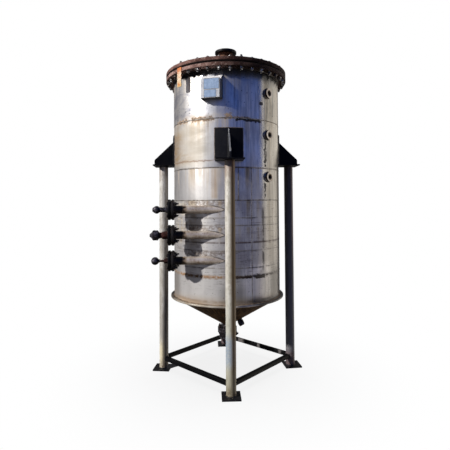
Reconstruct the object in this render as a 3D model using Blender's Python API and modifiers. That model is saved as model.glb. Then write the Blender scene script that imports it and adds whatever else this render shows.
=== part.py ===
"""Vertical stainless storage tank on four pipe legs, with a bolted flat cover and a cone bottom.

Metres, +Z up. The origin is on the ground under the tank's axis. The front leg stands at -Y,
the right leg at +X, and the three side inlets run to -X.
"""
import bpy
import bmesh
from math import atan, cos, pi, radians, sin
from mathutils import Matrix, Vector

COLLECTION = "vertical_storage_tank"
GAP = 0.0003
SEGMENTS = 80
PIPE_SEGMENTS = 24

SHELL_RADIUS = 0.5334
WALL = 0.0064
SHELL_BOTTOM = 0.7325
SHELL_SEAMS = (1.685, 1.980, 2.4275)
COURSE_NAMES = ("shell_inlet_course", "shell_middle_course", "shell_upper_course", "shell_top_course")

FLANGE_RADIUS = 0.6111
FLANGE_THICKNESS = 0.038
FLANGE_BOTTOM = 2.882
GASKET_THICKNESS = 0.006
GASKET_RADIUS = 0.583

TOP_NECK_RADIUS = 0.0572
TOP_NECK_WALL = 0.006
TOP_HUB_RADIUS = 0.074
TOP_HUB_HEIGHT = 0.052
TOP_FLANGE_RADIUS = 0.111
TOP_FLANGE_THICKNESS = 0.024
TOP_OF_TANK = 3.228

RING_RADIUS = 0.5665
RING_HEIGHT = 0.015
CONE_SLOPE = 0.61
OUTLET_RADIUS = 0.0445
OUTLET_WALL = 0.0055
OUTLET_FLANGE_RADIUS = 0.096
OUTLET_FLANGE_THICKNESS = 0.026
OUTLET_FACE = 0.378
VALVE_HEIGHT = 0.082
VALVE_BODY_RADIUS = 0.066
VALVE_FOOT_RADIUS = 0.082
VALVE_FOOT_THICKNESS = 0.016
STEM_RADIUS = 0.019
STEM_REACH = 0.112

STUB_RADIUS = 0.024
STUB_WALL = 0.005
STUB_LENGTH = 0.062
STUB_AT_RADIUS = 0.146
STUB_TURN = radians(54)

LEG_CIRCLE = 0.642
LEG_RADIUS = 0.04445
LEG_WALL = 0.0055
LEG_NAMES = ("front", "right", "back", "left")
FOOT_SIDE = 0.165
FOOT_THICKNESS = 0.0127
FOOT_TURNS = {"front": 0.0, "right": radians(5.5), "back": 0.0, "left": radians(-8)}
FOOT_SHIFTS = {"front": 0.0, "right": 0.0152, "back": 0.0, "left": 0.012}

PAD_HALF_ANGLE = radians(13.5)
PAD_THICKNESS = 0.0095
PAD_TOP = 2.3345
SHELF_BOTTOM = 2.035
SHELF_THICKNESS = 0.0127
SHELF_REACH = 0.7365
SHELF_WIDTH = 0.254
GUSSET_THICKNESS = 0.016
GUSSET_TOP = 2.288
GUSSET_CORNER = (0.718, 2.118)
WELD_SINK = 0.001

BRACE_SIDE = 0.0381
BRACE_WALL = 0.0032
BRACE_HEIGHT = 0.104
KNEE_DEPTH = 0.030
KNEE_THICKNESS = 0.010
KNEE_START = 0.052
KNEE_END = 0.235

INLET_HEIGHTS = {"upper": 1.602, "middle": 1.3735, "lower": 1.145}
INLET_OFFSET = 0.4945
INLET_RADIUS = 0.0365
INLET_WALL = 0.006
INLET_FLANGE_RADIUS = 0.0925
INLET_FLANGE_THICKNESS = 0.024
INLET_FACE = 0.520
RAISED_FACE_RADIUS = 0.062
RAISED_FACE = 0.003
BALL_RADIUS = 0.035

COUPLING_HEIGHTS = {"upper": 2.688, "middle": 2.295, "lower": 1.902}
COUPLING_TURN = radians(44.5)
COUPLING_RADIUS = 0.046
COUPLING_BORE = 0.0175
COUPLING_REACH = 0.024

PLATE_TURN = radians(-16)
PLATE_WIDTH = 0.171
PLATE_HEIGHT = 0.178
PLATE_DEPTH = 0.022
PLATE_MIDDLE = 2.686
PLATE_STAND_OFF = 0.586
BRACKET_WIDTH = 0.192
BRACKET_SHEET = 0.005
HOOD_RISE = 0.068

STRAP_TURN = radians(-47.25)
STRAP_WIDTH = 0.058
STRAP_THICKNESS = 0.005
STRAP_BOTTOM = 2.737
STRAP_TOP = 2.918

STAINLESS = ("weathered_stainless", (0.62, 0.60, 0.57), 0.38, 1.0)
RUSTY_STEEL = ("rusty_steel", (0.20, 0.10, 0.07), 0.80, 0.2)
BLACK_PAINT = ("black_paint", (0.02, 0.02, 0.022), 0.45, 0.0)
LEG_STEEL = ("leg_galvanised", (0.62, 0.62, 0.56), 0.55, 0.6)
DARK_STEEL = ("dark_steel", (0.05, 0.045, 0.045), 0.60, 0.5)
CONE_STEEL = ("stained_cone_steel", (0.16, 0.12, 0.09), 0.55, 0.7)
GASKET = ("gasket_rubber", (0.03, 0.03, 0.03), 0.85, 0.0)
PLATE_METAL = ("plate_aluminium", (0.75, 0.76, 0.78), 0.35, 1.0)


def clear_scene():
    """Removes every object that is in the scene."""
    for obj in list(bpy.data.objects):
        bpy.data.objects.remove(obj, do_unlink=True)


def new_collection(name):
    """Makes a collection and links it to the scene."""
    collection = bpy.data.collections.new(name)
    bpy.context.scene.collection.children.link(collection)
    return collection


def material(recipe):
    """The Principled material of a (name, colour, roughness, metallic) recipe."""
    name, colour, roughness, metallic = recipe
    mat = bpy.data.materials.get(name)
    if mat is None:
        mat = bpy.data.materials.new(name)
        mat.use_nodes = True
        shader = mat.node_tree.nodes["Principled BSDF"]
        shader.inputs["Base Color"].default_value = (*colour, 1.0)
        shader.inputs["Roughness"].default_value = roughness
        shader.inputs["Metallic"].default_value = metallic
    return mat


def add_object(name, mesh, recipe, place=None, collection=None):
    """Puts a mesh in the parts' collection, with its material and its place."""
    obj = bpy.data.objects.new(name, mesh)
    (collection or parts).objects.link(obj)
    if recipe is not None:
        mesh.materials.append(material(recipe))
    if place is not None:
        obj.matrix_world = place
    return obj


def add_cutter(name, mesh, place=None):
    """A cutter: a hidden object in its own collection."""
    obj = add_object(name, mesh, None, place, cutters)
    obj.hide_render = True
    obj.display_type = "WIRE"
    return obj


def profile_mesh(name, points, closed):
    """A mesh of edges only, in the XZ plane, for a Screw modifier."""
    mesh = bpy.data.meshes.new(name)
    vertices = [(radius, 0.0, height) for radius, height in points]
    edges = [(i, i + 1) for i in range(len(points) - 1)]
    if closed:
        edges.append((len(points) - 1, 0))
    mesh.from_pydata(vertices, edges, [])
    return mesh


def screw(obj, segments):
    """Turns the object's profile a full circle about its own Z axis."""
    turn = obj.modifiers.new("turn", "SCREW")
    turn.axis = "Z"
    turn.angle = 2 * pi
    turn.steps = segments
    turn.render_steps = segments
    turn.use_merge_vertices = True
    turn.merge_threshold = 0.0001
    return obj


def turned(name, points, recipe, segments=PIPE_SEGMENTS, place=None, closed=True):
    """A turned piece. Its points run down the outer side and back up the bore."""
    return screw(add_object(name, profile_mesh(name, points, closed), recipe, place), segments)


def turned_cutter(name, points, segments=PIPE_SEGMENTS, place=None):
    """A turned cutter from the axis down its outer side and back to the axis."""
    return screw(add_cutter(name, profile_mesh(name, points, False), place), segments)


def rod_points(radius, low, high):
    """The half outline of a solid round bar."""
    return [(0.0, high), (radius, high), (radius, low), (0.0, low)]


def tube_points(radius, bore, low, high):
    """The half outline of a tube."""
    return [(radius, high), (radius, low), (bore, low), (bore, high)]


def boolean(obj, other, operation="DIFFERENCE"):
    """Cuts the object with another one, or joins it to another one."""
    modifier = obj.modifiers.new(operation.lower(), "BOOLEAN")
    modifier.operation = operation
    modifier.solver = "EXACT"
    modifier.object = other
    return obj


def box_mesh(name, size):
    """A box centred on its own origin."""
    mesh = bpy.data.meshes.new(name)
    bm = bmesh.new()
    bmesh.ops.create_cube(bm, size=1.0, matrix=Matrix.Diagonal((*size, 1.0)))
    bm.to_mesh(mesh)
    bm.free()
    return mesh


def outline_mesh(name, points, thickness):
    """A flat outline made solid by an extruded 2D curve, then made a mesh."""
    curve = bpy.data.curves.new(name, "CURVE")
    curve.dimensions = "2D"
    curve.fill_mode = "BOTH"
    curve.extrude = thickness / 2
    spline = curve.splines.new("POLY")
    spline.points.add(len(points) - 1)
    for spot, (u, v) in zip(spline.points, points):
        spot.co = (u, v, 0.0, 1.0)
    spline.use_cyclic_u = True
    holder = bpy.data.objects.new(name, curve)
    cutters.objects.link(holder)
    evaluated = holder.evaluated_get(bpy.context.evaluated_depsgraph_get())
    mesh = bpy.data.meshes.new_from_object(evaluated)
    bpy.data.objects.remove(holder)
    bm = bmesh.new()
    bm.from_mesh(mesh)
    bmesh.ops.remove_doubles(bm, verts=bm.verts, dist=0.00001)
    bmesh.ops.recalc_face_normals(bm, faces=bm.faces)
    bm.to_mesh(mesh)
    bm.free()
    return mesh


def turn_z(angle):
    """A turn about the tank's axis, counted from -Y towards +X."""
    return Matrix.Rotation(angle, 4, "Z")


def facing_out(angle, distance, height):
    """Local +Z points straight out from the tank's axis at an angle counted from -Y."""
    out = turn_z(angle) @ Matrix.Translation((0.0, -distance, height))
    return out @ Matrix.Rotation(radians(90), 4, "X")


def shell_cutter():
    """The space that the shell takes, with the gap that a piece on it keeps."""
    return turned_cutter("shell_space", rod_points(SHELL_RADIUS + GAP, 0.4, FLANGE_BOTTOM), SEGMENTS)


def make_shell():
    """Four rolled courses of plate, one above the other, with their holes."""
    levels = (SHELL_BOTTOM, *SHELL_SEAMS, FLANGE_BOTTOM + FLANGE_THICKNESS - GAP)
    courses = {}
    for name, low, high in zip(COURSE_NAMES, levels[:-1], levels[1:]):
        points = tube_points(SHELL_RADIUS, SHELL_RADIUS - WALL, low + GAP / 2, high - GAP / 2)
        courses[name] = turned(name, points, STAINLESS, SEGMENTS)
    for level, height in INLET_HEIGHTS.items():
        bore = rod_points(INLET_RADIUS - INLET_WALL, 0.0, INLET_FACE)
        cutter = turned_cutter(f"inlet_bore_{level}", bore, place=inlet_place(height))
        boolean(courses["shell_inlet_course"], cutter)
    coupling_courses = dict(zip(COUPLING_HEIGHTS, reversed(COURSE_NAMES[1:])))
    for level, height in COUPLING_HEIGHTS.items():
        bore = rod_points(COUPLING_BORE, -2 * WALL, 2 * WALL)
        place = facing_out(COUPLING_TURN, SHELL_RADIUS, height)
        cutter = turned_cutter(f"coupling_bore_{level}", bore, place=place)
        boolean(courses[coupling_courses[level]], cutter)


def make_top():
    """The body flange, its gasket, the flat cover and the nozzle on it."""
    flange_top = FLANGE_BOTTOM + FLANGE_THICKNESS
    cover_bottom = flange_top + GASKET_THICKNESS + 2 * GAP
    cover_top = cover_bottom + FLANGE_THICKNESS
    turned("body_flange", tube_points(FLANGE_RADIUS, SHELL_RADIUS + GAP, FLANGE_BOTTOM, flange_top),
           RUSTY_STEEL, SEGMENTS)
    turned("cover_gasket", tube_points(GASKET_RADIUS, SHELL_RADIUS - WALL, flange_top + GAP,
                                       cover_bottom - GAP), GASKET, SEGMENTS)
    bore = TOP_NECK_RADIUS - TOP_NECK_WALL
    cover = tube_points(FLANGE_RADIUS, bore, cover_bottom, cover_top)
    turned("cover_plate", cover, RUSTY_STEEL, SEGMENTS)
    flange_low = TOP_OF_TANK - TOP_FLANGE_THICKNESS
    hub_low = flange_low - TOP_HUB_HEIGHT
    neck = tube_points(TOP_NECK_RADIUS, bore, cover_top + GAP, hub_low - GAP)
    turned("top_nozzle_neck", neck, RUSTY_STEEL, 32)
    flange = [(TOP_FLANGE_RADIUS, TOP_OF_TANK), (TOP_FLANGE_RADIUS, flange_low),
              (TOP_HUB_RADIUS, flange_low), (TOP_NECK_RADIUS, hub_low), (bore, hub_low),
              (bore, TOP_OF_TANK)]
    turned("top_nozzle_flange", flange, BLACK_PAINT, 32)


def cone_height(radius):
    """The height of the cone's outer side at a distance from the axis."""
    return SHELL_BOTTOM - CONE_SLOPE * (SHELL_RADIUS - radius)


def make_bottom():
    """The ring at the shell's foot, the cone, its outlet with a valve, and a drain stub."""
    ring = tube_points(RING_RADIUS, SHELL_RADIUS + GAP, SHELL_BOTTOM, SHELL_BOTTOM + RING_HEIGHT)
    turned("bottom_ring", ring, STAINLESS, SEGMENTS)
    rise = WALL / cos(atan(CONE_SLOPE))
    bore = OUTLET_RADIUS - OUTLET_WALL
    top = SHELL_BOTTOM - GAP / 2
    tip = cone_height(OUTLET_RADIUS)
    points = [(SHELL_RADIUS, top), (OUTLET_RADIUS, tip), (bore, tip), (bore, tip + rise),
              (SHELL_RADIUS - WALL, top)]
    cone = turned("bottom_cone", points, CONE_STEEL, SEGMENTS)
    lean = pi - atan(CONE_SLOPE)
    spot = Vector((0.0, -STUB_AT_RADIUS, cone_height(STUB_AT_RADIUS)))
    stub_place = turn_z(STUB_TURN) @ Matrix.Translation(spot) @ Matrix.Rotation(lean, 4, "X")
    hole = rod_points(STUB_RADIUS + GAP, -3 * WALL, 3 * WALL)
    boolean(cone, turned_cutter("stub_hole", hole, place=stub_place))
    turned("cone_drain_stub", tube_points(STUB_RADIUS, STUB_RADIUS - STUB_WALL, -WALL - 0.004, STUB_LENGTH),
           DARK_STEEL, place=stub_place)
    flange_top = OUTLET_FACE + OUTLET_FLANGE_THICKNESS
    outlet = [(OUTLET_RADIUS, tip - GAP), (OUTLET_RADIUS, flange_top), (OUTLET_FLANGE_RADIUS, flange_top),
              (OUTLET_FLANGE_RADIUS, OUTLET_FACE), (bore, OUTLET_FACE), (bore, tip - GAP)]
    turned("outlet_neck", outlet, BLACK_PAINT, 32)
    make_valve(bore)


def make_valve(bore):
    """The outlet valve: a round body between two flanges, with a stem to its side."""
    top = OUTLET_FACE - GAP
    low = top - VALVE_HEIGHT
    thick = OUTLET_FLANGE_THICKNESS
    foot = low + VALVE_FOOT_THICKNESS
    body = [(OUTLET_FLANGE_RADIUS, top), (OUTLET_FLANGE_RADIUS, top - thick),
            (VALVE_BODY_RADIUS, top - thick), (VALVE_BODY_RADIUS, foot), (VALVE_FOOT_RADIUS, foot),
            (VALVE_FOOT_RADIUS, low), (bore, low), (bore, top)]
    valve = turned("outlet_valve", body, DARK_STEEL, 32)
    stem_place = facing_out(radians(90), 0.0, (top - thick + foot) / 2)
    stem = turned_cutter("valve_stem", rod_points(STEM_RADIUS, bore + 0.006, STEM_REACH), 12, stem_place)
    boolean(valve, stem, "UNION")


def ring_arc(radius, half_angle, steps, start_sign):
    """Points of an arc about the tank's axis, centred on -Y."""
    angles = [start_sign * half_angle * (1 - 2 * i / steps) for i in range(steps + 1)]
    return [(radius * sin(a), -radius * cos(a)) for a in angles]


def bracket_meshes():
    """The pad, the shelf and the gusset of the bracket at -Y, each with its place."""
    segment = 2 * pi / SEGMENTS
    steps = round(2 * PAD_HALF_ANGLE / segment)
    inner = SHELL_RADIUS + GAP
    outer = inner + PAD_THICKNESS
    pad = ring_arc(inner, PAD_HALF_ANGLE, steps, -1) + ring_arc(outer, PAD_HALF_ANGLE, steps, 1)
    pad_height = PAD_TOP - SHELF_BOTTOM
    pad_place = Matrix.Translation((0.0, 0.0, SHELF_BOTTOM + pad_height / 2))
    half = SHELF_WIDTH / 2
    shelf = [(-half, -SHELF_REACH), (half, -SHELF_REACH)]
    shelf += ring_arc(inner + WELD_SINK, PAD_HALF_ANGLE, steps, 1)
    shelf_place = Matrix.Translation((0.0, 0.0, SHELF_BOTTOM + SHELF_THICKNESS / 2))
    root = outer - 3 * WELD_SINK
    corner_radius, corner_height = GUSSET_CORNER
    low = SHELF_BOTTOM + SHELF_THICKNESS - WELD_SINK
    edge = SHELF_REACH - WELD_SINK
    middle = (edge + corner_radius) / 2
    gusset = [(root, low), (edge, low), (edge, corner_height - 0.028),
              (middle + 0.004, corner_height - 0.010), (corner_radius, corner_height), (root, GUSSET_TOP)]
    upright = Matrix.Rotation(radians(-90), 4, "Z") @ Matrix.Rotation(radians(90), 4, "X")
    return ((outline_mesh("pad", pad, pad_height), pad_place),
            (outline_mesh("shelf", shelf, SHELF_THICKNESS), shelf_place),
            (outline_mesh("gusset", gusset, GUSSET_THICKNESS), upright))


def make_brackets():
    """Each leg's bracket: a pad on the shell with a shelf and a gusset welded to it."""
    (pad, pad_place), (shelf, shelf_place), (gusset, gusset_place) = bracket_meshes()
    for i, side in enumerate(LEG_NAMES):
        turn = turn_z(i * pi / 2)
        bracket = add_object(f"bracket_{side}", pad.copy(), BLACK_PAINT, turn @ pad_place)
        boolean(bracket, add_cutter(f"shelf_{side}", shelf, turn @ shelf_place), "UNION")
        boolean(bracket, add_cutter(f"gusset_{side}", gusset, turn @ gusset_place), "UNION")


def make_legs():
    """Four pipe legs, each on its own foot plate."""
    colours = {"front": LEG_STEEL, "right": DARK_STEEL, "back": DARK_STEEL, "left": LEG_STEEL}
    for i, side in enumerate(LEG_NAMES):
        spot = turn_z(i * pi / 2) @ Vector((0.0, -LEG_CIRCLE, 0.0))
        points = tube_points(LEG_RADIUS, LEG_RADIUS - LEG_WALL, FOOT_THICKNESS + GAP, SHELF_BOTTOM - GAP)
        turned(f"leg_{side}", points, colours[side], place=Matrix.Translation(spot))
        outward = turn_z(i * pi / 2) @ Vector((0.0, -FOOT_SHIFTS[side], 0.0))
        foot = Matrix.Translation(spot + outward + Vector((0.0, 0.0, FOOT_THICKNESS / 2)))
        turn = turn_z(FOOT_TURNS[side])
        add_object(f"foot_{side}", box_mesh("foot", (FOOT_SIDE, FOOT_SIDE, FOOT_THICKNESS)), BLACK_PAINT,
                   foot @ turn)


def brace_place(i):
    """Local +X runs from leg i to the next leg, from the middle between them."""
    start = turn_z(i * pi / 2) @ Vector((0.0, -LEG_CIRCLE, 0.0))
    end = turn_z((i + 1) * pi / 2) @ Vector((0.0, -LEG_CIRCLE, 0.0))
    return Matrix.Translation((start + end) / 2) @ Matrix.Rotation(radians(45) + i * pi / 2, 4, "Z")


def leg_cutters():
    """The space of each leg, with the gap that a piece on it keeps."""
    found = {}
    for i, side in enumerate(LEG_NAMES):
        spot = turn_z(i * pi / 2) @ Vector((0.0, -LEG_CIRCLE, 0.0))
        points = rod_points(LEG_RADIUS + GAP, -0.1, 0.4)
        found[side] = turned_cutter(f"leg_space_{side}", points, place=Matrix.Translation(spot))
    return found


def make_braces():
    """Square tubes between the feet of the legs, and the short knee bar at the left foot."""
    legs = leg_cutters()
    length = LEG_CIRCLE * 2 ** 0.5
    names = ("brace_front_right", "brace_back_right", "brace_back_left", "brace_front_left")
    inner = BRACE_SIDE - 2 * BRACE_WALL
    height = Matrix.Translation((0.0, 0.0, BRACE_HEIGHT))
    for i, name in enumerate(names):
        place = brace_place(i) @ height
        brace = add_object(name, box_mesh(name, (length, BRACE_SIDE, BRACE_SIDE)), BLACK_PAINT, place)
        boolean(brace, add_cutter(f"{name}_bore", box_mesh("bore", (2 * length, inner, inner)), place))
        boolean(brace, legs[LEG_NAMES[i]])
        boolean(brace, legs[LEG_NAMES[(i + 1) % 4]])
    start_height = FOOT_THICKNESS + GAP
    end_height = BRACE_HEIGHT - BRACE_SIDE / 2 - GAP
    outline = [(KNEE_START - 0.02, start_height), (KNEE_START + 0.03, start_height), (KNEE_END, end_height),
               (KNEE_END - 0.07, end_height), (KNEE_START - 0.02, start_height + KNEE_DEPTH)]
    upright = Matrix.Rotation(radians(90), 4, "X")
    knee = add_object("knee_bar_left", outline_mesh("knee", outline, KNEE_THICKNESS), BLACK_PAINT,
                      brace_place(3) @ Matrix.Translation((-length / 2, 0.0, 0.0)) @ upright)
    boolean(knee, legs["left"])


def inlet_place(height):
    """Local +Z runs out along -X, beside the tank's axis on its front side."""
    place = Matrix.Translation((0.0, -INLET_OFFSET, height))
    return place @ Matrix.Rotation(radians(-90), 4, "Y")


def make_inlets(shell_space):
    """Three inlet pipes that meet the shell at a tangent, each closed by a flange and a fitting."""
    bore = INLET_RADIUS - INLET_WALL
    back = INLET_FACE - INLET_FLANGE_THICKNESS
    nozzle = [(INLET_FLANGE_RADIUS, INLET_FACE), (INLET_FLANGE_RADIUS, back), (INLET_RADIUS, back),
              (INLET_RADIUS, 0.0), (bore, 0.0), (bore, INLET_FACE)]
    fittings = fitting_outlines()
    for level, height in INLET_HEIGHTS.items():
        place = inlet_place(height)
        pipe = turned(f"inlet_pipe_{level}", nozzle, STAINLESS, place=place)
        boolean(pipe, shell_space)
        face = INLET_FACE + GAP
        low = face + RAISED_FACE
        high = low + INLET_FLANGE_THICKNESS
        end_flange = [(0.0, high), (INLET_FLANGE_RADIUS, high), (INLET_FLANGE_RADIUS, low),
                      (RAISED_FACE_RADIUS, low), (RAISED_FACE_RADIUS, face), (0.0, face)]
        turned(f"inlet_end_flange_{level}", end_flange, DARK_STEEL, place=place, closed=False)
        start = high + GAP
        outline = [(radius, start + along) for along, radius in reversed(fittings[level])]
        turned(f"inlet_fitting_{level}", outline, DARK_STEEL, 16, place, closed=False)


def fitting_outlines():
    """Each end fitting as (distance along, radius), from the end flange to its tip."""
    middle = BALL_RADIUS + 0.083
    angles = [pi * k / 9 for k in range(2, 9)]
    ball = [(middle - BALL_RADIUS * cos(a), BALL_RADIUS * sin(a)) for a in angles]
    return {
        "upper": [(0.0, 0.0), (0.0, 0.021), (0.070, 0.021), (0.070, 0.030), (0.084, 0.035), (0.126, 0.035),
                  (0.138, 0.026), (0.142, 0.0)],
        "middle": [(0.0, 0.0), (0.0, 0.034), (0.050, 0.034), (0.056, 0.026), (0.078, 0.026), (0.090, 0.045),
                   (0.136, 0.045), (0.150, 0.024), (0.166, 0.012), (0.166, 0.0)],
        "lower": [(0.0, 0.0), (0.0, 0.024), (0.038, 0.024), (0.044, 0.010), (0.092, 0.010), *ball,
                  (middle + BALL_RADIUS, 0.0)],
    }


def make_couplings(shell_space):
    """Three thick couplings on the right front of the shell."""
    for level, height in COUPLING_HEIGHTS.items():
        points = tube_points(COUPLING_RADIUS, COUPLING_BORE, -0.02, COUPLING_REACH)
        place = facing_out(COUPLING_TURN, SHELL_RADIUS, height)
        boolean(turned(f"coupling_{level}", points, STAINLESS, place=place), shell_space)


def make_nameplate(shell_space):
    """A bare plate box on a sheet bracket whose hood slopes back up to the shell."""
    turn = facing_out(PLATE_TURN, 0.0, PLATE_MIDDLE)
    sideways = turn @ Matrix.Rotation(radians(-90), 4, "Y")
    low = -PLATE_HEIGHT / 2
    high = PLATE_HEIGHT / 2
    back = SHELL_RADIUS - 0.04
    front = PLATE_STAND_OFF
    side = [(back, low), (front, low), (front, high), (back, high + HOOD_RISE)]
    bracket = add_object("nameplate_bracket", outline_mesh("nameplate_bracket", side, BRACKET_WIDTH),
                         PLATE_METAL, sideways)
    sheet = BRACKET_SHEET
    room = [(back - 1.0, low - 1.0), (front - sheet, low - 1.0), (front - sheet, high - sheet),
            (back - 1.0, high + HOOD_RISE * (front - back + 1.0) / (front - back) - sheet)]
    hollow = outline_mesh("bracket_room", room, BRACKET_WIDTH - 2 * sheet)
    boolean(bracket, add_cutter("bracket_room", hollow, sideways))
    boolean(bracket, shell_space)
    box_place = facing_out(PLATE_TURN, PLATE_STAND_OFF + GAP + PLATE_DEPTH / 2, PLATE_MIDDLE)
    box = box_mesh("nameplate_box", (PLATE_WIDTH, PLATE_HEIGHT, PLATE_DEPTH))
    add_object("nameplate_box", box, PLATE_METAL, box_place)


def make_strap():
    """A flat strap that hangs from the rim of the body flange."""
    flat = FLANGE_RADIUS * cos(pi / SEGMENTS)
    size = (STRAP_WIDTH, STRAP_TOP - STRAP_BOTTOM, STRAP_THICKNESS)
    place = facing_out(STRAP_TURN, flat + GAP + STRAP_THICKNESS / 2, (STRAP_TOP + STRAP_BOTTOM) / 2)
    add_object("hanging_strap", box_mesh("hanging_strap", size), RUSTY_STEEL, place)


clear_scene()
parts = new_collection(COLLECTION)
cutters = new_collection("cutters")
make_shell()
make_top()
make_bottom()
make_brackets()
make_legs()
make_braces()
space = shell_cutter()
make_inlets(space)
make_couplings(space)
make_nameplate(space)
make_strap()
bpy.context.view_layer.update()
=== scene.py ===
"""The looks of the vertical storage tank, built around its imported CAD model."""
import random
from functools import reduce
from math import atan, ceil, cos, degrees, hypot, pi, radians, sin, sqrt
from operator import or_

import bmesh
import bpy
from mathutils import Matrix, Vector, noise


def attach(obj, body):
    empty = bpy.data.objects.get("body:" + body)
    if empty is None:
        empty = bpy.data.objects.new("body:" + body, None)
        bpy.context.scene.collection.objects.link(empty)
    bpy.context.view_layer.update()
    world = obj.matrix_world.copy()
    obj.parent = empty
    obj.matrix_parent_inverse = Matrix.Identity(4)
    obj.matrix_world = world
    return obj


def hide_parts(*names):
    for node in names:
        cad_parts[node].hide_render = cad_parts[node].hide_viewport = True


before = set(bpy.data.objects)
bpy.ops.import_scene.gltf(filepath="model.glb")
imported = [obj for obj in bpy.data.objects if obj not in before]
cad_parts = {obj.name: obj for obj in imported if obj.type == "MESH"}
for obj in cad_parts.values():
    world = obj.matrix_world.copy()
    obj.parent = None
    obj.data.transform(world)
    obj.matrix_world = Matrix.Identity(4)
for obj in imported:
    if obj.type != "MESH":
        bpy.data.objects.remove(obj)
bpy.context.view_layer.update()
RANDOM = random.Random(11)

# Sizes and heights in metres and angles in radians, the same as in the CAD model
SHELL = 0.5334
WALL = 0.0064
SHELL_BOTTOM = 0.7325
SEAMS = (1.685, 1.980, 2.4275)
COURSES = ("shell_inlet_course", "shell_middle_course", "shell_upper_course", "shell_top_course")
BELT_EDGES = (1.526, 1.457, 1.303, 1.2295, 1.0745)
RUST_LINE = 0.996
FLANGE = 0.6111
FLANGE_THICK = 0.038
FLANGE_LOW = 2.882
FLANGE_TOP = FLANGE_LOW + FLANGE_THICK
GAP = 0.0003
COVER_LOW = FLANGE_TOP + 0.006 + 2 * GAP
COVER_TOP = COVER_LOW + FLANGE_THICK
BOLT_CIRCLE = 0.5830
BOLTS = 36
NECK = 0.0572
NECK_BORE = 0.0512
NECK_TOP = 3.152
NOZZLE_TOP = 3.228
RING_HIGH = 0.015
CONE_SLOPE = 0.61
OUTLET = 0.0445
OUTLET_BORE = 0.039
CONE_TIP = SHELL_BOTTOM - CONE_SLOPE * (SHELL - OUTLET)
STUB_CIRCLE = 0.146
STUB_TURN = radians(54)
LEG_CIRCLE = 0.642
LEG = 0.04445
LEG_WALL = 0.0055
FOOT = 0.165
FOOT_THICK = 0.0127
FOOT_TURNS = (0.0, radians(5.5), 0.0, radians(-8))
FOOT_SHIFTS = (0.0, 0.0152, 0.0, 0.012)
SIDES = ("front", "right", "back", "left")
PAD_HALF = radians(13.5)
PAD_THICK = 0.0095
PAD_OUTER = SHELL + GAP + PAD_THICK
PAD_TOP = 2.3345
SHELF_LOW = 2.035
SHELF_THICK = 0.0127
SHELF_TOP = SHELF_LOW + SHELF_THICK
SHELF_REACH = 0.7365
SHELF_WIDTH = 0.254
GUSSET_REACH = SHELF_REACH - 0.001
BRACE = 0.0381
BRACE_HEIGHT = 0.104
LEVELS = ("upper", "middle", "lower")
INLET_HEIGHTS = (1.602, 1.3735, 1.145)
INLET_OFFSET = 0.4945
INLET = 0.0365
INLET_FLANGE = 0.0925
INLET_THICK = 0.024
INLET_FACE = 0.520
INLET_BACK = INLET_FACE - INLET_THICK
INLET_JOINT = INLET_FACE + GAP
INLET_LOW = INLET_JOINT + 0.003
INLET_END = INLET_LOW + INLET_THICK
COUPLING_HEIGHTS = (2.688, 2.295, 1.902)
COUPLING_TURN = radians(44.5)
COUPLING = 0.046
COUPLING_BORE = 0.0175
COUPLING_REACH = 0.024
PLATE_TURN = radians(-16)
PLATE_MIDDLE = 2.686
PLATE_FRONT = 0.586
PLATE_WIDE = 0.096
PLATE_TALL = 0.089
STRAP_TURN = radians(-47.25)

# The steps round a large piece and round a leg's weld, a step along other welds, and how deep their foot lies
AROUND = 256
LEG_STEPS = 105
RIPPLE = 0.0027
SINK = 0.0006

# The camera, fitted to the photograph: lengths in pixels or metres, angles in radians
PHOTO = 450
FOCAL = 400.47
HORIZON = 190.94
EYE = 1.6612
DISTANCE = 4.1188
VIEW_TURN = 0.0464
AIM = 0.0038
TILT = 0.0297
ROLL = 0.0060


def linear(*levels):
    """A colour given as 0 to 255 screen levels, made linear."""
    return tuple(((v / 255 + 0.055) / 1.055) ** 2.4 if v > 10 else v / 255 / 12.92 for v in levels)


def dimmed(level, *colour):
    """A colour times a level."""
    return tuple(level * part for part in colour)


def largest(masks):
    """The largest of several masks."""
    return reduce(or_, masks)


class Value:
    """A value in a node tree, whose sums, products and masks are new nodes."""

    def __init__(self, nodes, socket):
        self.nodes = nodes
        self.socket = socket

    def __add__(self, other):
        return self.nodes.math("ADD", self, other)

    def __sub__(self, other):
        return self.nodes.math("SUBTRACT", self, other)

    def __rsub__(self, other):
        return self.nodes.math("SUBTRACT", other, self)

    def __mul__(self, other):
        return self.nodes.math("MULTIPLY", self, other)

    def __or__(self, other):
        return self.nodes.math("MAXIMUM", self, other)

    def step(self, low, high, start=0.0, end=1.0):
        """A smooth step between two levels."""
        inputs = {"Value": self, "From Min": low, "From Max": high, "To Min": start, "To Max": end}
        return self.nodes.add("ShaderNodeMapRange", inputs, "Result", interpolation_type="SMOOTHSTEP")

    def near(self, middle, reach):
        """1 at the middle, and 0 from its reach on."""
        return self.nodes.math("ABSOLUTE", self - middle).step(0, reach, 1, 0)

    def window(self, low, high, soft):
        """1 between two levels, with soft ends."""
        return self.step(low - soft, low + soft) * self.step(high - soft, high + soft, 1, 0)

    def ragged(self, unevenness, amount):
        """The value, moved up and down by a noise."""
        return self + (unevenness - 0.5) * amount


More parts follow.
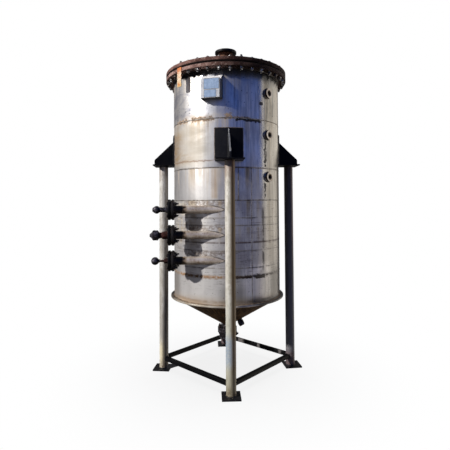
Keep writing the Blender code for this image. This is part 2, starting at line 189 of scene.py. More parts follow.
class Nodes:
    """A node tree, built with short calls."""

    def __init__(self, tree):
        self.tree = tree

    def put(self, value, socket):
        """Links a value to a socket, or sets it where it is a plain number or colour."""
        if isinstance(value, Value):
            self.tree.links.new(value.socket, socket)
        elif socket.type == "RGBA":
            socket.default_value = (*value, 1.0)
        else:
            socket.default_value = value

    def add(self, kind, inputs, output=0, **settings):
        """Adds a node with its settings and inputs, and gives one of its outputs."""
        node = self.tree.nodes.new(kind)
        for key, setting in settings.items():
            setattr(node, key, setting)
        for key, value in inputs.items():
            self.put(value, node.inputs[key])
        return Value(self, node.outputs[output]) if node.outputs else None

    def math(self, operation, a, b=0.0, clamp=False):
        """One Math node."""
        return self.add("ShaderNodeMath", {0: a, 1: b}, operation=operation, use_clamp=clamp)

    def mix(self, share, a, b, blend="MIX"):
        """Mixes two colours."""
        return self.add("ShaderNodeMix", {0: share, 6: a, 7: b}, 2, data_type="RGBA", blend_type=blend)

    def blend(self, share, a, b):
        """Mixes two numbers."""
        return self.add("ShaderNodeMix", {0: share, 2: a, 3: b})

    def split(self, vector):
        """The x, y and z of a vector, and its angle about Z in degrees from -Y towards +X."""
        x, y, z = [Value(self, s) for s in self.add("ShaderNodeSeparateXYZ", {0: vector}).socket.node.outputs]
        return x, y, z, self.math("ARCTAN2", x, y * -1) * (180 / pi)


class Paint(Nodes):
    """A material whose colour is laid on coat over coat."""

    def __init__(self, name):
        self.material = bpy.data.materials.new(name)
        self.material.use_nodes = True
        super().__init__(self.material.node_tree)
        self.shader = self.tree.nodes["Principled BSDF"]
        self.place = self.add("ShaderNodeTexCoord", {}, "Object")
        self.x, self.y, self.z, self.turn = self.split(self.place)
        self.radius = self.math("SQRT", self.x * self.x + self.y * self.y)
        self.colour = None

    def stretch(self, tall, wide=1.0):
        """The place on the part, scaled upwards and across."""
        return self.add("ShaderNodeVectorMath", {0: self.place, 1: (wide, wide, tall)}, operation="MULTIPLY")

    def noise(self, scale, detail, rough, where=None, distortion=0.0):
        """Noise from 0 to 1."""
        inputs = {"Vector": where or self.place, "Scale": scale, "Detail": detail, "Roughness": rough,
                  "Distortion": distortion}
        return self.add("ShaderNodeTexNoise", inputs, "Fac")

    def cells(self, scale):
        """The distance to the middle of the nearest cell."""
        return self.add("ShaderNodeTexVoronoi", {"Vector": self.place, "Scale": scale}, "Distance")

    def coat(self, share, colour, blend="MIX"):
        """Lays a colour over what is there, by a share from 0 to 1."""
        self.colour = self.mix(share, self.colour, colour, blend)

    def finish(self, rough, metallic, relief=(), gloss=0.5):
        """Fills the shader's sockets. The relief is (height, metres, strength), the deepest layer first."""
        sockets = {"Base Color": self.colour, "Roughness": rough, "Metallic": metallic,
                   "Specular IOR Level": gloss}
        for height, distance, strength in relief:
            under = {"Normal": sockets["Normal"]} if "Normal" in sockets else {}
            inputs = {"Strength": strength, "Distance": distance, "Height": height, **under}
            sockets["Normal"] = self.add("ShaderNodeBump", inputs, "Normal")
        for key, value in sockets.items():
            self.put(value, self.shader.inputs[key])
        return self.material


CREAM = linear(184, 174, 156)


class ShellPaint(Paint):
    """The paint of one course of the shell, which lies between two heights."""

    def __init__(self, name, bottom, top):
        super().__init__(name)
        self.bottom = bottom
        self.top = top
        self.marks = []
        long_space = self.stretch(0.045)
        self.streaks = self.noise(14, 6, 0.6, long_space)
        self.thin_streaks = self.noise(70, 5, 0.6, long_space)
        self.wide_streaks = self.noise(4.5, 3, 0.5, self.stretch(0.12))
        self.cloud = self.noise(3, 6, 0.62, None, 0.6)
        self.mottle = self.noise(17, 6, 0.65)
        self.blots = self.noise(46, 5, 0.62)
        self.layers = self.noise(3.2, 6, 0.6, self.stretch(4), 0.5)
        self.smears = self.noise(7, 7, 0.66, self.stretch(0.4), 0.4)

    def crosses(self, low, high):
        """Whether this course reaches into a range of heights."""
        return low < self.top and high > self.bottom

    def patch(self, low, high, soft, first, last, ends):
        """1 between two heights and between two turns in degrees, each with soft ends."""
        return self.z.window(low, high, soft) * self.turn.window(first, last, ends)

    def blotted(self, closeness, level=0.72):
        """Ragged blots, thick where the closeness is 1."""
        return (self.blots + closeness * 0.36).step(level, level + 0.035)

    def marked(self, mask, share, colour, dulls=True):
        """Lays a mark over the steel, which can also take its shine."""
        if dulls:
            self.marks.append(mask)
        self.coat(mask * share, colour)


def bare_plate(p):
    """The plate itself, streaked, darker towards its foot as a painted reflection, and paler low on the front
    right as a painted reflection.
    """
    p.colour = p.mix(p.cloud.step(0.38, 0.66), (0.60, 0.59, 0.575), (0.47, 0.46, 0.455))
    p.coat(p.streaks.step(0.45, 0.72, 0, 0.55), (0.34, 0.32, 0.31))
    p.coat(p.thin_streaks.step(0.50, 0.75, 0, 0.35), (0.70, 0.68, 0.65))
    # Darker towards the foot: a painted reflection, broken up by streaks
    p.coat(p.z.step(0.95, 2.1, 1, 0) * p.wide_streaks.step(0.35, 0.62, 0.25, 0.8), (0.40, 0.385, 0.38))
    # Paler low on the front right: a painted reflection
    if p.crosses(0.80, 1.10):
        p.coat(p.turn.window(14, 50, 5) * p.z.step(1.14, 1.05, 0, 0.75), (0.95, 0.92, 0.91))


def tan_runs(p):
    """Tan runs under the flange, the seams and the belts, and one beside the upright seam."""
    edges = ((FLANGE_LOW, 0.42), (SEAMS[2], 0.30), (SEAMS[1], 0.26), (SEAMS[0], 0.22), (1.44, 0.2))
    for height, reach in edges:
        if p.crosses(height - reach, height):
            below = height - p.z
            run = below.step(0, reach, 1, 0) * below.step(-0.004, 0.004) * p.streaks.step(0.47, 0.66)
            p.marked(run, 0.55, linear(176, 152, 116))
    if p.crosses(1.70, 1.97):
        run = p.patch(1.70, 1.975, 0.02, -17.5, -11.5, 1.6) * p.streaks.step(0.30, 0.5, 0.3, 1)
        p.marked(run, 0.5, linear(160, 128, 92))


def side_stains(p):
    """Cream, yellow and bluish stains at the left, a cream painted reflection at the right, and dark smudges.
    """
    if p.crosses(2.04, 2.40):
        p.marked(p.patch(2.00, 2.385, 0.05, -110, -16, 10) * p.layers.step(0.30, 0.64, 0.45, 1), 0.58, CREAM)
        yellow = p.patch(2.03, 2.34, 0.06, -116, -58, 12) * p.layers.step(0.34, 0.60, 0.45, 1)
        foot = p.patch(2.035, 2.115, 0.03, -116, -44, 12) * p.layers.step(0.36, 0.56, 0.1, 0.8)
        p.marked(yellow | foot * 0.7, 0.92, linear(148, 118, 74), dulls=False)
    if p.crosses(2.46, 2.74):
        bluish = p.patch(2.46, 2.74, 0.08, -95, -36, 10) * p.layers.step(0.44, 0.60)
        p.marked(bluish, 0.62, linear(120, 124, 142), dulls=False)
    # A cream painted reflection of warm surroundings on the right side
    right = p.turn.window(38, 100, 6) * p.streaks.step(0.30, 0.62, 0.35, 1) * p.z.step(0.8, 1.6, 0.55, 1)
    p.marked(right, 0.68, CREAM)
    smudge = p.turn.window(-6, 37, 6) * p.smears.step(0.44, 0.60) * p.z.step(1.5, 2.3, 1, 0.4)
    p.marked(smudge * p.z.step(0.93, 1.03, 0.12, 1), 0.52, (0.17, 0.16, 0.18), dulls=False)
    worn = p.turn.window(40, 110, 4) * p.smears.step(0.50, 0.62) * p.z.step(1.7, 2.3, 0.20, 1)
    p.marked(worn, 0.6, (0.16, 0.145, 0.125), dulls=False)


def inlet_dirt(p):
    """Cream stains, scribbled lines and brown grime round the inlets."""
    p.marked(p.patch(1.28, 1.72, 0.06, -74, -30, 12) * p.mottle.step(0.42, 0.62), 0.68, CREAM)
    scribbles = p.noise(5, 5, 0.6, p.stretch(22), 0.8)
    lined = scribbles.step(0.54, 0.62) * p.mottle.step(0.42, 0.56) * p.z.window(0.9, 1.72, 0.05)
    p.marked(lined, 0.55, linear(92, 80, 76), dulls=False)
    lees = largest([p.z.window(height + 0.030, height + 0.085, 0.018) for height in INLET_HEIGHTS])
    lees = lees * p.turn.window(-52, 2, 8) * p.blots.step(0.40, 0.56)
    p.marked(lees, 0.6, linear(104, 86, 72), dulls=False)


def line_dirt(p):
    """Dirt along the seams, the belts, the foot and the bracket's shelf."""
    lines = ((SEAMS[1], 0.014), (SEAMS[0], 0.009), (0.775, 0.020), *((edge, 0.009) for edge in BELT_EDGES))
    rings = [p.z.near(height, reach) for height, reach in lines if p.crosses(height - reach, height + reach)]
    if rings:
        p.marked(largest(rings) * p.mottle.step(0.30, 0.55), 0.60, linear(84, 76, 70))
    if p.crosses(2.03, 2.06):
        rim = p.z.ragged(p.mottle, 0.05).near(2.046, 0.011) * p.turn.window(-95, -14, 4)
        p.marked(rim, 0.6, linear(120, 86, 58))


def seam_rust(p):
    """A tan halo, rust and tar along the upper seam."""
    halo = p.z.near(2.428, 0.075) * p.turn.window(-90, -8, 10) * p.mottle.step(0.36, 0.62)
    p.marked(halo, 0.50, linear(186, 160, 122))
    places = ((-66, -45, 2.430, 0.044), (-41, -13, 2.426, 0.046), (-4, 3.5, 2.447, 0.070),
              (-6, 24, 2.428, 0.028), (64, 90, 2.43, 0.02), (110, 152, 2.43, 0.03))
    rust = largest([p.z.near(height, reach) * p.turn.window(first, last, 3)
                    for first, last, height, reach in places])
    brown = p.mix(p.mottle.step(0.4, 0.6), linear(160, 132, 102), linear(112, 86, 62))
    p.marked(p.blotted(rust), 0.80, brown)
    p.marked(p.blotted(p.z.near(2.415, 0.034) * p.turn.window(6, 35, 3)), 1.0, (0.010, 0.009, 0.008))


def foot_rust(p):
    """The rusty weld low on the shell, its black crusts, and brown grime at the foot."""
    line = p.z.ragged(p.mottle, 0.03).near(RUST_LINE, 0.026) * p.blots.step(0.38, 0.52, 0.25, 1)
    p.marked(line, 0.95, p.mix(p.turn.step(-12, 4), linear(136, 98, 56), linear(74, 54, 42)))
    places = ((5, 23.5, 0.983, 1.006), (26.5, 38.5, 0.972, 1.006), (-97, -88, 0.985, 1.004),
              (112, 131, 0.986, 1.004))
    crust = largest([p.patch(low, high, 0.006, first, last, 1.2) for first, last, low, high in places])
    p.marked(p.blotted(crust, 0.66), 0.97, (0.034, 0.018, 0.009))
    reddish = p.z.near(BELT_EDGES[2], 0.016) * p.mottle.step(0.30, 0.52) * p.turn.step(-40, 0, 0.3, 1)
    p.marked(reddish, 0.7, linear(66, 42, 42), dulls=False)
    p.marked(p.z.step(0.850, 0.745) * p.layers.step(0.30, 0.60, 0.4, 1), 0.8, linear(140, 114, 84))


def flange_shadow(p):
    """Painted shadow under the flange, soft at the right. Gives its mask."""
    edge = p.z + p.streaks * 0.10
    shade_mask = p.blend(p.turn.step(-22, -8), edge.step(2.866, 2.894), edge.step(2.815, 2.920))
    shade_mask = shade_mask * p.turn.window(-100, 60, 20)
    p.marked(shade_mask, 0.96, (0.014, 0.012, 0.014))
    return shade_mask


def black_runs(p):
    """Black runs under the couplings, a brown one beside the belts, and small rust specks."""
    places = ((40.2, 4.2, 1.99, 2.26), (41.6, 2.6, 2.02, 2.16), (39.6, 3.4, 1.70, 1.86))
    runs = [p.turn.near(middle, wide) * p.z.window(low, high, 0.03)
            for middle, wide, low, high in places if p.crosses(low, high)]
    if runs:
        p.marked(p.blotted(largest(runs), 0.74), 0.95, (0.016, 0.013, 0.012))
    if p.crosses(1.05, 1.60):
        run = p.turn.near(36.4, 2.6) * p.z.window(1.05, 1.60, 0.03) * p.mottle.step(0.34, 0.56)
        p.marked(run, 0.72, linear(62, 54, 50))
    p.coat(p.cells(38).step(0.10, 0.05) * p.cloud.step(0.5, 0.62), linear(96, 70, 48))


def cool_tints(p):
    """Painted shade beside the bracket, a painted blue reflection on the front with painted shade towards the
    flange, and dark sides low down.
    """
    if p.crosses(1.99, 2.80):
        # Painted shade beside the bracket, under the nameplate
        flank = p.turn.window(-25, -8, 4) * p.streaks.step(0.35, 0.60, 0.65, 1)
        p.coat(flank, (0.70, 0.73, 0.80), "MULTIPLY")
    # A painted blue reflection on the front right, and painted shade growing towards the flange
    shade = p.thin_streaks.step(0.42, 0.60) * p.turn.window(2, 62, 5) * p.z.step(1.6, 2.7, 0.25, 0.8)
    shade = shade | p.z.step(2.50, 2.86, 0, 0.55) * p.turn.window(2, 62, 8)
    p.coat(shade, (0.40, 0.45, 0.52), "MULTIPLY")
    left = p.turn.window(-120, -60, 6) * p.z.step(1.20, 0.95)
    right = p.turn.window(50, 120, 5) * p.z.step(1.10, 0.98)
    p.coat((left | right) * 0.60, (0.16, 0.14, 0.12))
    if p.crosses(0.80, 0.93):
        p.coat(p.turn.window(-10, 16, 5) * p.z.step(0.95, 0.86, 0, 0.45), (0.14, 0.13, 0.12))


def shell_steel(name, bottom, top):
    """Weathered stainless plate between two heights, with its stains, tar and rust, a painted shadow under
    the flange, and painted shade and reflections.
    """
    p = ShellPaint(name, bottom, top)
    shade_mask = None
    bare_plate(p)
    tan_runs(p)
    side_stains(p)
    if p.crosses(0.90, 1.40):
        inlet_dirt(p)
    line_dirt(p)
    if p.crosses(2.40, 2.50):
        seam_rust(p)
    if p.crosses(0.90, 1.10):
        foot_rust(p)
    if p.crosses(2.56, 2.60):
        blue = p.patch(2.566, 2.598, 0.005, 32.6, 37.4, 0.8)
        p.marked(p.blotted(blue, 0.64), 0.95, (0.004, 0.005, 0.022))
    if p.crosses(2.80, 2.90):
        shade_mask = flange_shadow(p)
    black_runs(p)
    cool_tints(p)
    # Real marks together with the painted shadow and painted reflection, which all take the steel's shine
    dirt_and_painted_light = largest(p.marks)
    low = p.z.step(0.9, 2.3, 1, 0)
    metal = p.blend(low, 0.98, 0.74) - dirt_and_painted_light * 0.55
    metal = p.math("SUBTRACT", metal, p.z.step(1.18, 0.90, 0, 0.26), clamp=True)
    rough = p.blend(p.cloud.step(0.3, 0.7), p.blend(low, 0.40, 0.50), p.blend(low, 0.47, 0.58))
    rough = (rough.ragged(p.thin_streaks, 0.12) + dirt_and_painted_light * 0.22) * p.turn.step(20, 40, 1, 0.46)
    # Where the flange's shadow is painted, the steel loses its metal and is rougher at the left
    if shade_mask:
        metal = metal * (1 - shade_mask)
        rough = rough | shade_mask * p.turn.step(-16, -4, 1, 0)
    grain = p.noise(160, 3, 0.6, p.stretch(0.2))
    relief = [(p.wide_streaks, 0.010, 0.35), (grain, 0.0006, 0.5), (p.blots, 0.0008, 0.4),
              (p.mottle, 0.0030, 0.35)]
    return p.finish(rough, metal, relief)


def plain_steel(name, light, dark, stain, shaded=False):
    """Stained stainless for the ring and the couplings. The ring has painted shade at its sides."""
    p = Paint(name)
    cloud = p.noise(9, 6, 0.6)
    spots = p.noise(30, 6, 0.7)
    p.colour = p.mix(cloud.step(0.36, 0.66), light, dark)
    tan = spots.step(0.50, 0.68) * cloud.step(0.40, 0.60)
    p.coat(tan * stain, linear(150, 122, 88))
    metal = (0.6 if shaded else 1.0) - tan * (0.5 * stain)
    if shaded:
        # Painted shade at both sides of the ring
        shade_mask = (p.turn.window(28, 160, 10) | p.turn.window(-150, -66, 7)) * spots.step(0.34, 0.60, 0.55, 1)
        p.coat(shade_mask, linear(46, 34, 28))
        metal = p.math("SUBTRACT", metal, shade_mask * 0.95, clamp=True)
    relief = [(spots, 0.0012, 0.4), (p.noise(120, 4, 0.6), 0.0006, 0.5)]
    return p.finish(p.blend(cloud, 0.34, 0.52), metal, relief)


def inlet_steel():
    """The inlet pipes: stained stainless that turns black near the flange."""
    p = Paint("inlet_pipe_steel")
    cloud = p.noise(12, 6, 0.6)
    spots = p.noise(42, 6, 0.7)
    p.colour = p.mix(cloud.step(0.36, 0.64), (0.70, 0.625, 0.545), (0.46, 0.385, 0.315))
    p.coat(spots.step(0.52, 0.68, 0, 0.7), linear(136, 100, 68))
    along = p.x.ragged(cloud, 0.05)
    brown = along.step(-0.400, -0.372, 1, 0)
    p.coat(brown * 0.8, linear(112, 90, 70))
    black = along.step(-0.428, -0.414, 1, 0)
    p.coat(black, p.mix(spots.step(0.5, 0.66), (0.010, 0.009, 0.010), linear(40, 29, 26)))
    return p.finish(p.blend(black, 0.42, 0.62), p.blend(brown, 0.42, 0), [(spots, 0.0014, 0.5)], 0.2)


def rusty_steel(name, share, dark, mid, light, shaded=False):
    """Rusted plate and forgings. The flange and the cover have painted shade at the right and in their joint.
    """
    p = Paint(name)
    cloud = p.noise(7, 8, 0.65, None, 0.4)
    grit = p.noise(55, 8, 0.7)
    p.colour = p.mix(cloud.step(0.34, 0.62), linear(*dark), linear(*mid))
    p.coat(grit.step(0.50, 0.66) * share, linear(*light))
    p.coat(grit.step(0.44, 0.30, 0, 0.8), (0.010, 0.008, 0.008))
    if shaded:
        # Painted shade on the right side
        p.coat(p.turn.window(-3, 150, 20) * cloud.step(0.20, 0.60, 1, 0.75), (0.013, 0.0055, 0.0045))
        # A painted shade line in the joint between the flange and the cover
        joint = p.math("ABSOLUTE", p.z - (FLANGE_TOP + 0.0033))
        p.coat(joint.step(0.007, 0.015, 1, 0), (0.010, 0.0045, 0.004))
    relief = [(cloud, 0.004, 0.3), (p.cells(90), 0.0015, 0.4), (grit, 0.004, 0.6)]
    return p.finish(p.blend(grit, 0.62, 0.95), 0.05, relief, 0.15)


def black_paint(name, rust=0.35, dust=0.35, level=1.0, worn=False):
    """Satin black paint, dusty and chipped. Worn paint has three bare places on the back right brace."""
    p = Paint(name)
    cloud = p.noise(6, 6, 0.6)
    spots = p.noise(38, 8, 0.7)
    fine = p.noise(180, 4, 0.6)
    deep = dimmed(level, 0.0055, 0.0055, 0.0068)
    p.colour = p.mix(cloud.step(0.36, 0.66), deep, dimmed(level, 0.012, 0.012, 0.014))
    p.coat(fine.step(0.52, 0.74, 0, dust), dimmed(level, 0.050, 0.048, 0.046))
    chips = spots.step(0.62, 0.68) * cloud.step(0.50, 0.60)
    p.coat(chips * rust, linear(104, 60, 36))
    if worn:
        places = ((0.145, 0.212, 0.008), (0.336, 0.362, 0.006), (0.535, 0.562, 0.006))
        bare = largest([p.x.window(*ends) for ends in places]) * spots.step(0.36, 0.5, 0.6, 1)
        p.coat(bare * p.y.window(0.06, 0.9, 0.01), linear(98, 95, 95))
    relief = [(cloud, 0.003, 0.2), (chips, 0.0009, 0.6), (fine, 0.0005, 0.5)]
    return p.finish(p.blend(cloud, 0.34, 0.55) + chips * 0.3, 0, relief, 0.20 * level)


def leg_paint(name, light, dark, rust_top, front=False):
    """A weathered pipe leg, rusty at its top, darker on its shaded side as painted shade, with brown stain
    there on the front leg, and dirty at its foot.
    """
    p = Paint(name)
    z = p.z
    streaks = p.noise(60, 6, 0.65, p.stretch(0.06))
    cloud = p.noise(8, 6, 0.6, p.stretch(0.35))
    spots = p.noise(70, 6, 0.7)
    flecks = p.noise(34, 6, 0.7, p.stretch(0.5))
    p.colour = p.mix(cloud.step(0.36, 0.66), light, dark)
    p.coat(streaks.step(0.50, 0.72, 0, 0.5), dark)
    p.coat(flecks.step(0.46, 0.62, 0, 0.45), linear(138, 130, 112))
    if front:
        p.coat(z.step(1.10, 0.55, 0, 0.6), linear(166, 168, 152))
        # Painted shade together with brown stain on the front leg's right side
        shaded_side = p.x.ragged(streaks, 0.012).step(-0.012, 0.020)
        p.coat(shaded_side * 0.92, linear(122, 95, 48))
        # A bluish painted reflection low on the leg
        blue = z.window(0.27, 0.515, 0.05) * spots.step(0.36, 0.60, 0.35, 1) * shaded_side.step(0.3, 0.9, 1, 0.25)
        p.coat(blue, linear(146, 160, 176))
        p.coat(z.step(0.30, 0.16) * cloud.step(0.30, 0.62, 0.4, 1), linear(146, 140, 118))
    else:
        p.coat(z.step(0.34, 0.16) * cloud.step(0.30, 0.58, 0.3, 0.9), linear(228, 216, 180))
        # Painted shade on the side towards the tank
        shaded_side = (p.x + (1.1 - z) * 0.022).ragged(streaks, 0.02).step(-0.648, -0.616)
        p.coat(shaded_side * 0.8, linear(92, 86, 80))
    top = z.ragged(cloud, 0.35).step(1.80, 2.00) * streaks.step(0.30, 0.62, 0.2, 1)
    p.coat(top * rust_top, linear(120, 78, 50))
    p.coat(z.step(0.13, 0.03) * spots.step(0.36, 0.60) * 0.7, linear(84, 62, 44))
    p.coat(spots.step(0.66, 0.72) * cloud.step(0.48, 0.6), linear(110, 72, 44))
    return p.finish(p.blend(cloud, 0.42, 0.62), 0.12, [(streaks, 0.0008, 0.3), (spots, 0.0010, 0.5)])


def dark_leg_paint():
    """The right and back legs: dark blue-grey with a paler painted sheen lower down, brown at the outside as
    painted light, and red-brown at the foot.
    """
    p = Paint("leg_dark_steel")
    z = p.z
    streaks = p.noise(50, 6, 0.65, p.stretch(0.07))
    cloud = p.noise(7, 6, 0.6, p.stretch(0.4))
    spots = p.noise(60, 6, 0.7)
    p.colour = p.mix(cloud.step(0.36, 0.66), (0.024, 0.023, 0.026), (0.054, 0.050, 0.054))
    p.coat(streaks.step(0.50, 0.70, 0, 0.6), (0.125, 0.115, 0.120))
    # A blue-grey painted sheen, growing towards the foot
    p.coat(z.step(2.0, 0.6, 0, 0.8), (0.20, 0.20, 0.222))
    # Painted light: paler brown on the right leg's outer side
    outer = p.x.step(0.648, 0.672) * z.step(0.9, 1.5) * streaks.step(0.30, 0.60, 0.35, 1)
    p.coat(outer, (0.34, 0.275, 0.265))
    p.coat(z.near(0.205, 0.05) * spots.step(0.44, 0.62), linear(120, 118, 116))
    p.coat(z.step(0.20, 0.10) * spots.step(0.34, 0.60, 0.25, 0.9), linear(78, 46, 40))
    p.coat(z.step(1.80, 2.00) * streaks.step(0.38, 0.62) * 0.6, linear(76, 50, 38))
    return p.finish(p.blend(cloud, 0.45, 0.66), 0.2, [(spots, 0.0010, 0.5)])


def cone_steel():
    """The cone: brown-stained plate with streaks that run down to its outlet."""
    p = Paint("stained_cone_plate")
    fan = p.add("ShaderNodeCombineXYZ", {0: p.turn * 0.05, 1: p.radius * 1.2})
    runs = p.noise(9, 6, 0.65, fan)
    cloud = p.noise(6, 7, 0.65)
    spots = p.noise(34, 6, 0.7)
    p.colour = p.mix(cloud.step(0.34, 0.64), linear(136, 102, 72), linear(74, 50, 34))
    p.coat(runs.step(0.46, 0.60, 0, 0.85), linear(174, 138, 90))
    p.coat(spots.step(0.50, 0.66, 0, 0.75), linear(50, 31, 22))
    p.coat(p.radius.step(0.500, 0.528) * cloud.step(0.34, 0.6) * 0.5, linear(128, 112, 84))
    return p.finish(p.blend(spots, 0.45, 0.72), 0.05, [(cloud, 0.006, 0.3), (spots, 0.0016, 0.5)], 0.12)


def strap_paint():
    """Cream paint with orange rust."""
    p = Paint("hanging_strap_paint")
    cloud = p.noise(16, 7, 0.65)
    grit = p.noise(90, 6, 0.7)
    p.colour = p.mix(grit.step(0.40, 0.70), linear(232, 208, 184), linear(200, 170, 134))
    p.coat(p.z.step(2.81, 2.75, 0, 0.7), linear(204, 168, 92))
    worn = cloud.step(0.52, 0.62) | (p.z + cloud * 0.06).step(2.88, 2.93)
    p.coat(worn * 0.9, linear(206, 112, 40))
    p.coat(worn * grit.step(0.54, 0.66), linear(104, 54, 28))
    return p.finish(0.7, 0.05, [(cloud, 0.002, 0.4), (grit, 0.0012, 0.5)])


def plate_metal(name, level, metallic):
    """Bare sheet: pale aluminium with scratches and dust."""
    p = Paint(name)
    scratches = p.noise(90, 4, 0.6, p.stretch(1.0, 0.4))
    cloud = p.noise(22, 6, 0.6)
    p.colour = p.mix(cloud.step(0.34, 0.68), dimmed(level, 0.57, 0.58, 0.60), dimmed(level, 0.41, 0.42, 0.45))
    p.coat(scratches.step(0.58, 0.72, 0, 0.5), (0.36, 0.39, 0.44))
    return p.finish(p.blend(scratches, 0.34, 0.56), metallic, [(scratches, 0.0004, 0.5)])


def hood_paint():
    """The nameplate's bracket: pale sheet, paler than its sides as painted light, with brown marks."""
    p = Paint("plate_bracket_sheet")
    cloud = p.noise(26, 6, 0.65)
    # Near-white: painted light on the sheet's front and sloping top
    p.colour = p.mix(cloud.step(0.34, 0.68), (0.96, 0.95, 0.98), (0.86, 0.85, 0.88))
    p.coat(cloud.step(0.56, 0.66, 0, 0.8), linear(150, 112, 84))
    return p.finish(p.blend(cloud, 0.45, 0.62), 0, [(cloud, 0.001, 0.4)])


def panel_paint():
    """A blank blue-grey panel on the nameplate."""
    p = Paint("plate_blank_panel")
    cloud = p.noise(40, 6, 0.65)
    fine = p.noise(220, 3, 0.6)
    p.colour = p.mix(cloud.step(0.34, 0.66), linear(150, 172, 202), linear(126, 148, 180))
    p.coat(fine.step(0.60, 0.72, 0, 0.4), linear(156, 170, 190))
    return p.finish(p.blend(cloud, 0.40, 0.58), 0.25, [(fine, 0.0003, 0.5)])


def rubber():
    """The gasket's edge: matte black with grey dust."""
    p = Paint("gasket_edge")
    grit = p.noise(70, 6, 0.7)
    p.colour = p.mix(grit.step(0.42, 0.72), (0.012, 0.012, 0.012), (0.055, 0.048, 0.042))
    return p.finish(0.9, 0, [(grit, 0.002, 0.5)])


def bolt_steel(name, dark, light, rust, grain):
    """Nuts, studs and castings: dark steel with bright flecks as painted glints, and rust."""
    p = Paint(name)
    grit = p.noise(grain, 6, 0.7)
    # The light flecks are painted glints
    p.colour = p.mix(grit.step(0.42, 0.66), dark, light)
    p.coat(p.noise(14, 4, 0.6).step(0.44, 0.60, 0, 0.8), rust)
    return p.finish(p.blend(grit, 0.36, 0.7), 0.7, [(grit, 0.0012, 0.5)])


def weld_metal(name, light, dark, metallic):
    """A weld bead with heat stains."""
    p = Paint(name)
    cloud = p.noise(26, 6, 0.65)
    fine = p.noise(140, 4, 0.6)
    p.colour = p.mix(cloud.step(0.36, 0.62), light, dark)
    p.coat(fine.step(0.56, 0.72, 0, 0.6), linear(70, 52, 40))
    return p.finish(p.blend(cloud, 0.38, 0.62), metallic, [(fine, 0.0006, 0.5)])


COURSE_STEELS = [shell_steel(name, low, high) for name, low, high in (
    ("shell_steel_inlet", SHELL_BOTTOM, SEAMS[0]), ("shell_steel_middle", SEAMS[0], SEAMS[1]),
    ("shell_steel_upper", SEAMS[1], SEAMS[2]), ("shell_steel_top", SEAMS[2], FLANGE_TOP))]
PIPE_STEEL = inlet_steel()
RING_STEEL = plain_steel("ring_stainless", (0.56, 0.52, 0.45), (0.36, 0.32, 0.26), 0.8, shaded=True)
COUPLING_STEEL = plain_steel("coupling_stainless", (0.50, 0.47, 0.43), (0.30, 0.27, 0.24), 0.7)
FLANGE_RUST = rusty_steel("flange_rust", 0.7, (92, 62, 56), (160, 128, 120), (214, 192, 184), shaded=True)
COVER_RUST = rusty_steel("cover_rust", 0.5, (66, 36, 31), (132, 98, 90), (192, 166, 158), shaded=True)
NECK_RUST = rusty_steel("neck_rust", 0.7, (92, 60, 48), (150, 114, 92), (196, 170, 140))
RED_RUST = rusty_steel("fitting_rust", 0.5, (26, 16, 16), (62, 35, 32), (100, 60, 50))
BLACK = black_paint("black_paint_satin")
BRACE_BLACK = black_paint("black_paint_brace", dust=0.1, level=0.3, worn=True)
# A darker black: black paint, also used as painted shade on the side brackets, the front bracket's right and
# underside, and under and inside the nameplate
BLACK_AND_SHADE = black_paint("black_paint_and_shade", rust=0.3, dust=0.08, level=0.45)
BLACK_IRON = black_paint("black_iron", rust=0.6, dust=0.3, level=0.6)
BLACK_WELD = black_paint("black_painted_weld", rust=0.5, dust=0.3)
FRONT_LEG = leg_paint("leg_front_cream", linear(216, 213, 208), linear(184, 179, 166), 0.8, front=True)
LEFT_LEG = leg_paint("leg_left_grey", linear(214, 212, 208), linear(168, 164, 158), 0.5)
DARK_LEG = dark_leg_paint()
CONE = cone_steel()
STRAP = strap_paint()
PLATE = plate_metal("plate_aluminium_sheet", 1.0, 0.45)
# A darker copy of the sheet, used as painted shade on sideways faces
PLATE_SHADE = plate_metal("plate_aluminium_shade", 0.12, 0.85)
# A lighter grey, a painted highlight on the front gusset's sloping edge and tip weld
GUSSET_HIGHLIGHT = plate_metal("gusset_edge_highlight", 0.46, 0.3)
HOOD = hood_paint()
PANEL = panel_paint()
GASKET = rubber()
BOLT = bolt_steel("flange_bolt_steel", (0.022, 0.020, 0.020), (0.96, 0.95, 0.93), linear(50, 32, 26), 70)
IRON_WITH_GLINTS = bolt_steel("iron_with_glints", (0.008, 0.007, 0.009), (0.10, 0.092, 0.11), linear(30, 22, 22), 52)
SMALL_BOLT = bolt_steel("small_bolt_steel", (0.014, 0.013, 0.013), (0.05, 0.045, 0.045), linear(40, 26, 22),
                        110)
SHELL_WELD = weld_metal("shell_weld", linear(150, 146, 140), linear(92, 84, 76), 0.75)
RING_WELD = weld_metal("ring_weld", linear(146, 124, 98), linear(78, 58, 42), 0.4)
# Dark rusty weld colour, also used as painted shade under the flange and on the couplings' sides
RUST_AND_SHADE_WELD = weld_metal("rust_and_shade_weld", linear(60, 44, 36), linear(26, 18, 15), 0.2)
BORE = weld_metal("coupling_bore", linear(104, 86, 64), linear(56, 44, 32), 0.6)
PAD_WELD = weld_metal("pad_weld", linear(124, 112, 102), linear(64, 54, 46), 0.4)


def turn_z(angle):
    """A turn about the tank's axis, counted from -Y towards +X."""
    return Matrix.Rotation(angle, 4, "Z")


def turn_x(angle):
    """A turn about local X."""
    return Matrix.Rotation(angle, 4, "X")


def lifted(height):
    """A shift along local Z."""
    return Matrix.Translation((0, 0, height))


def out_at(angle, distance, height=0.0):
    """A place at a distance from the tank's axis. Local -Y points out."""
    return turn_z(angle) @ Matrix.Translation((0, -distance, height))


def facing_out(angle, distance, height):
    """Local +Z points straight out from the axis, +X along the tangent and +Y up."""
    return out_at(angle, distance, height) @ turn_x(radians(90))


def turns(count):
    """Angles all the way round."""
    return [2 * pi * k / count for k in range(count)]


def on_circle(radius, angle, height=0.0):
    """A spot on a circle about local Z."""
    return Vector((radius * cos(angle), radius * sin(angle), height))


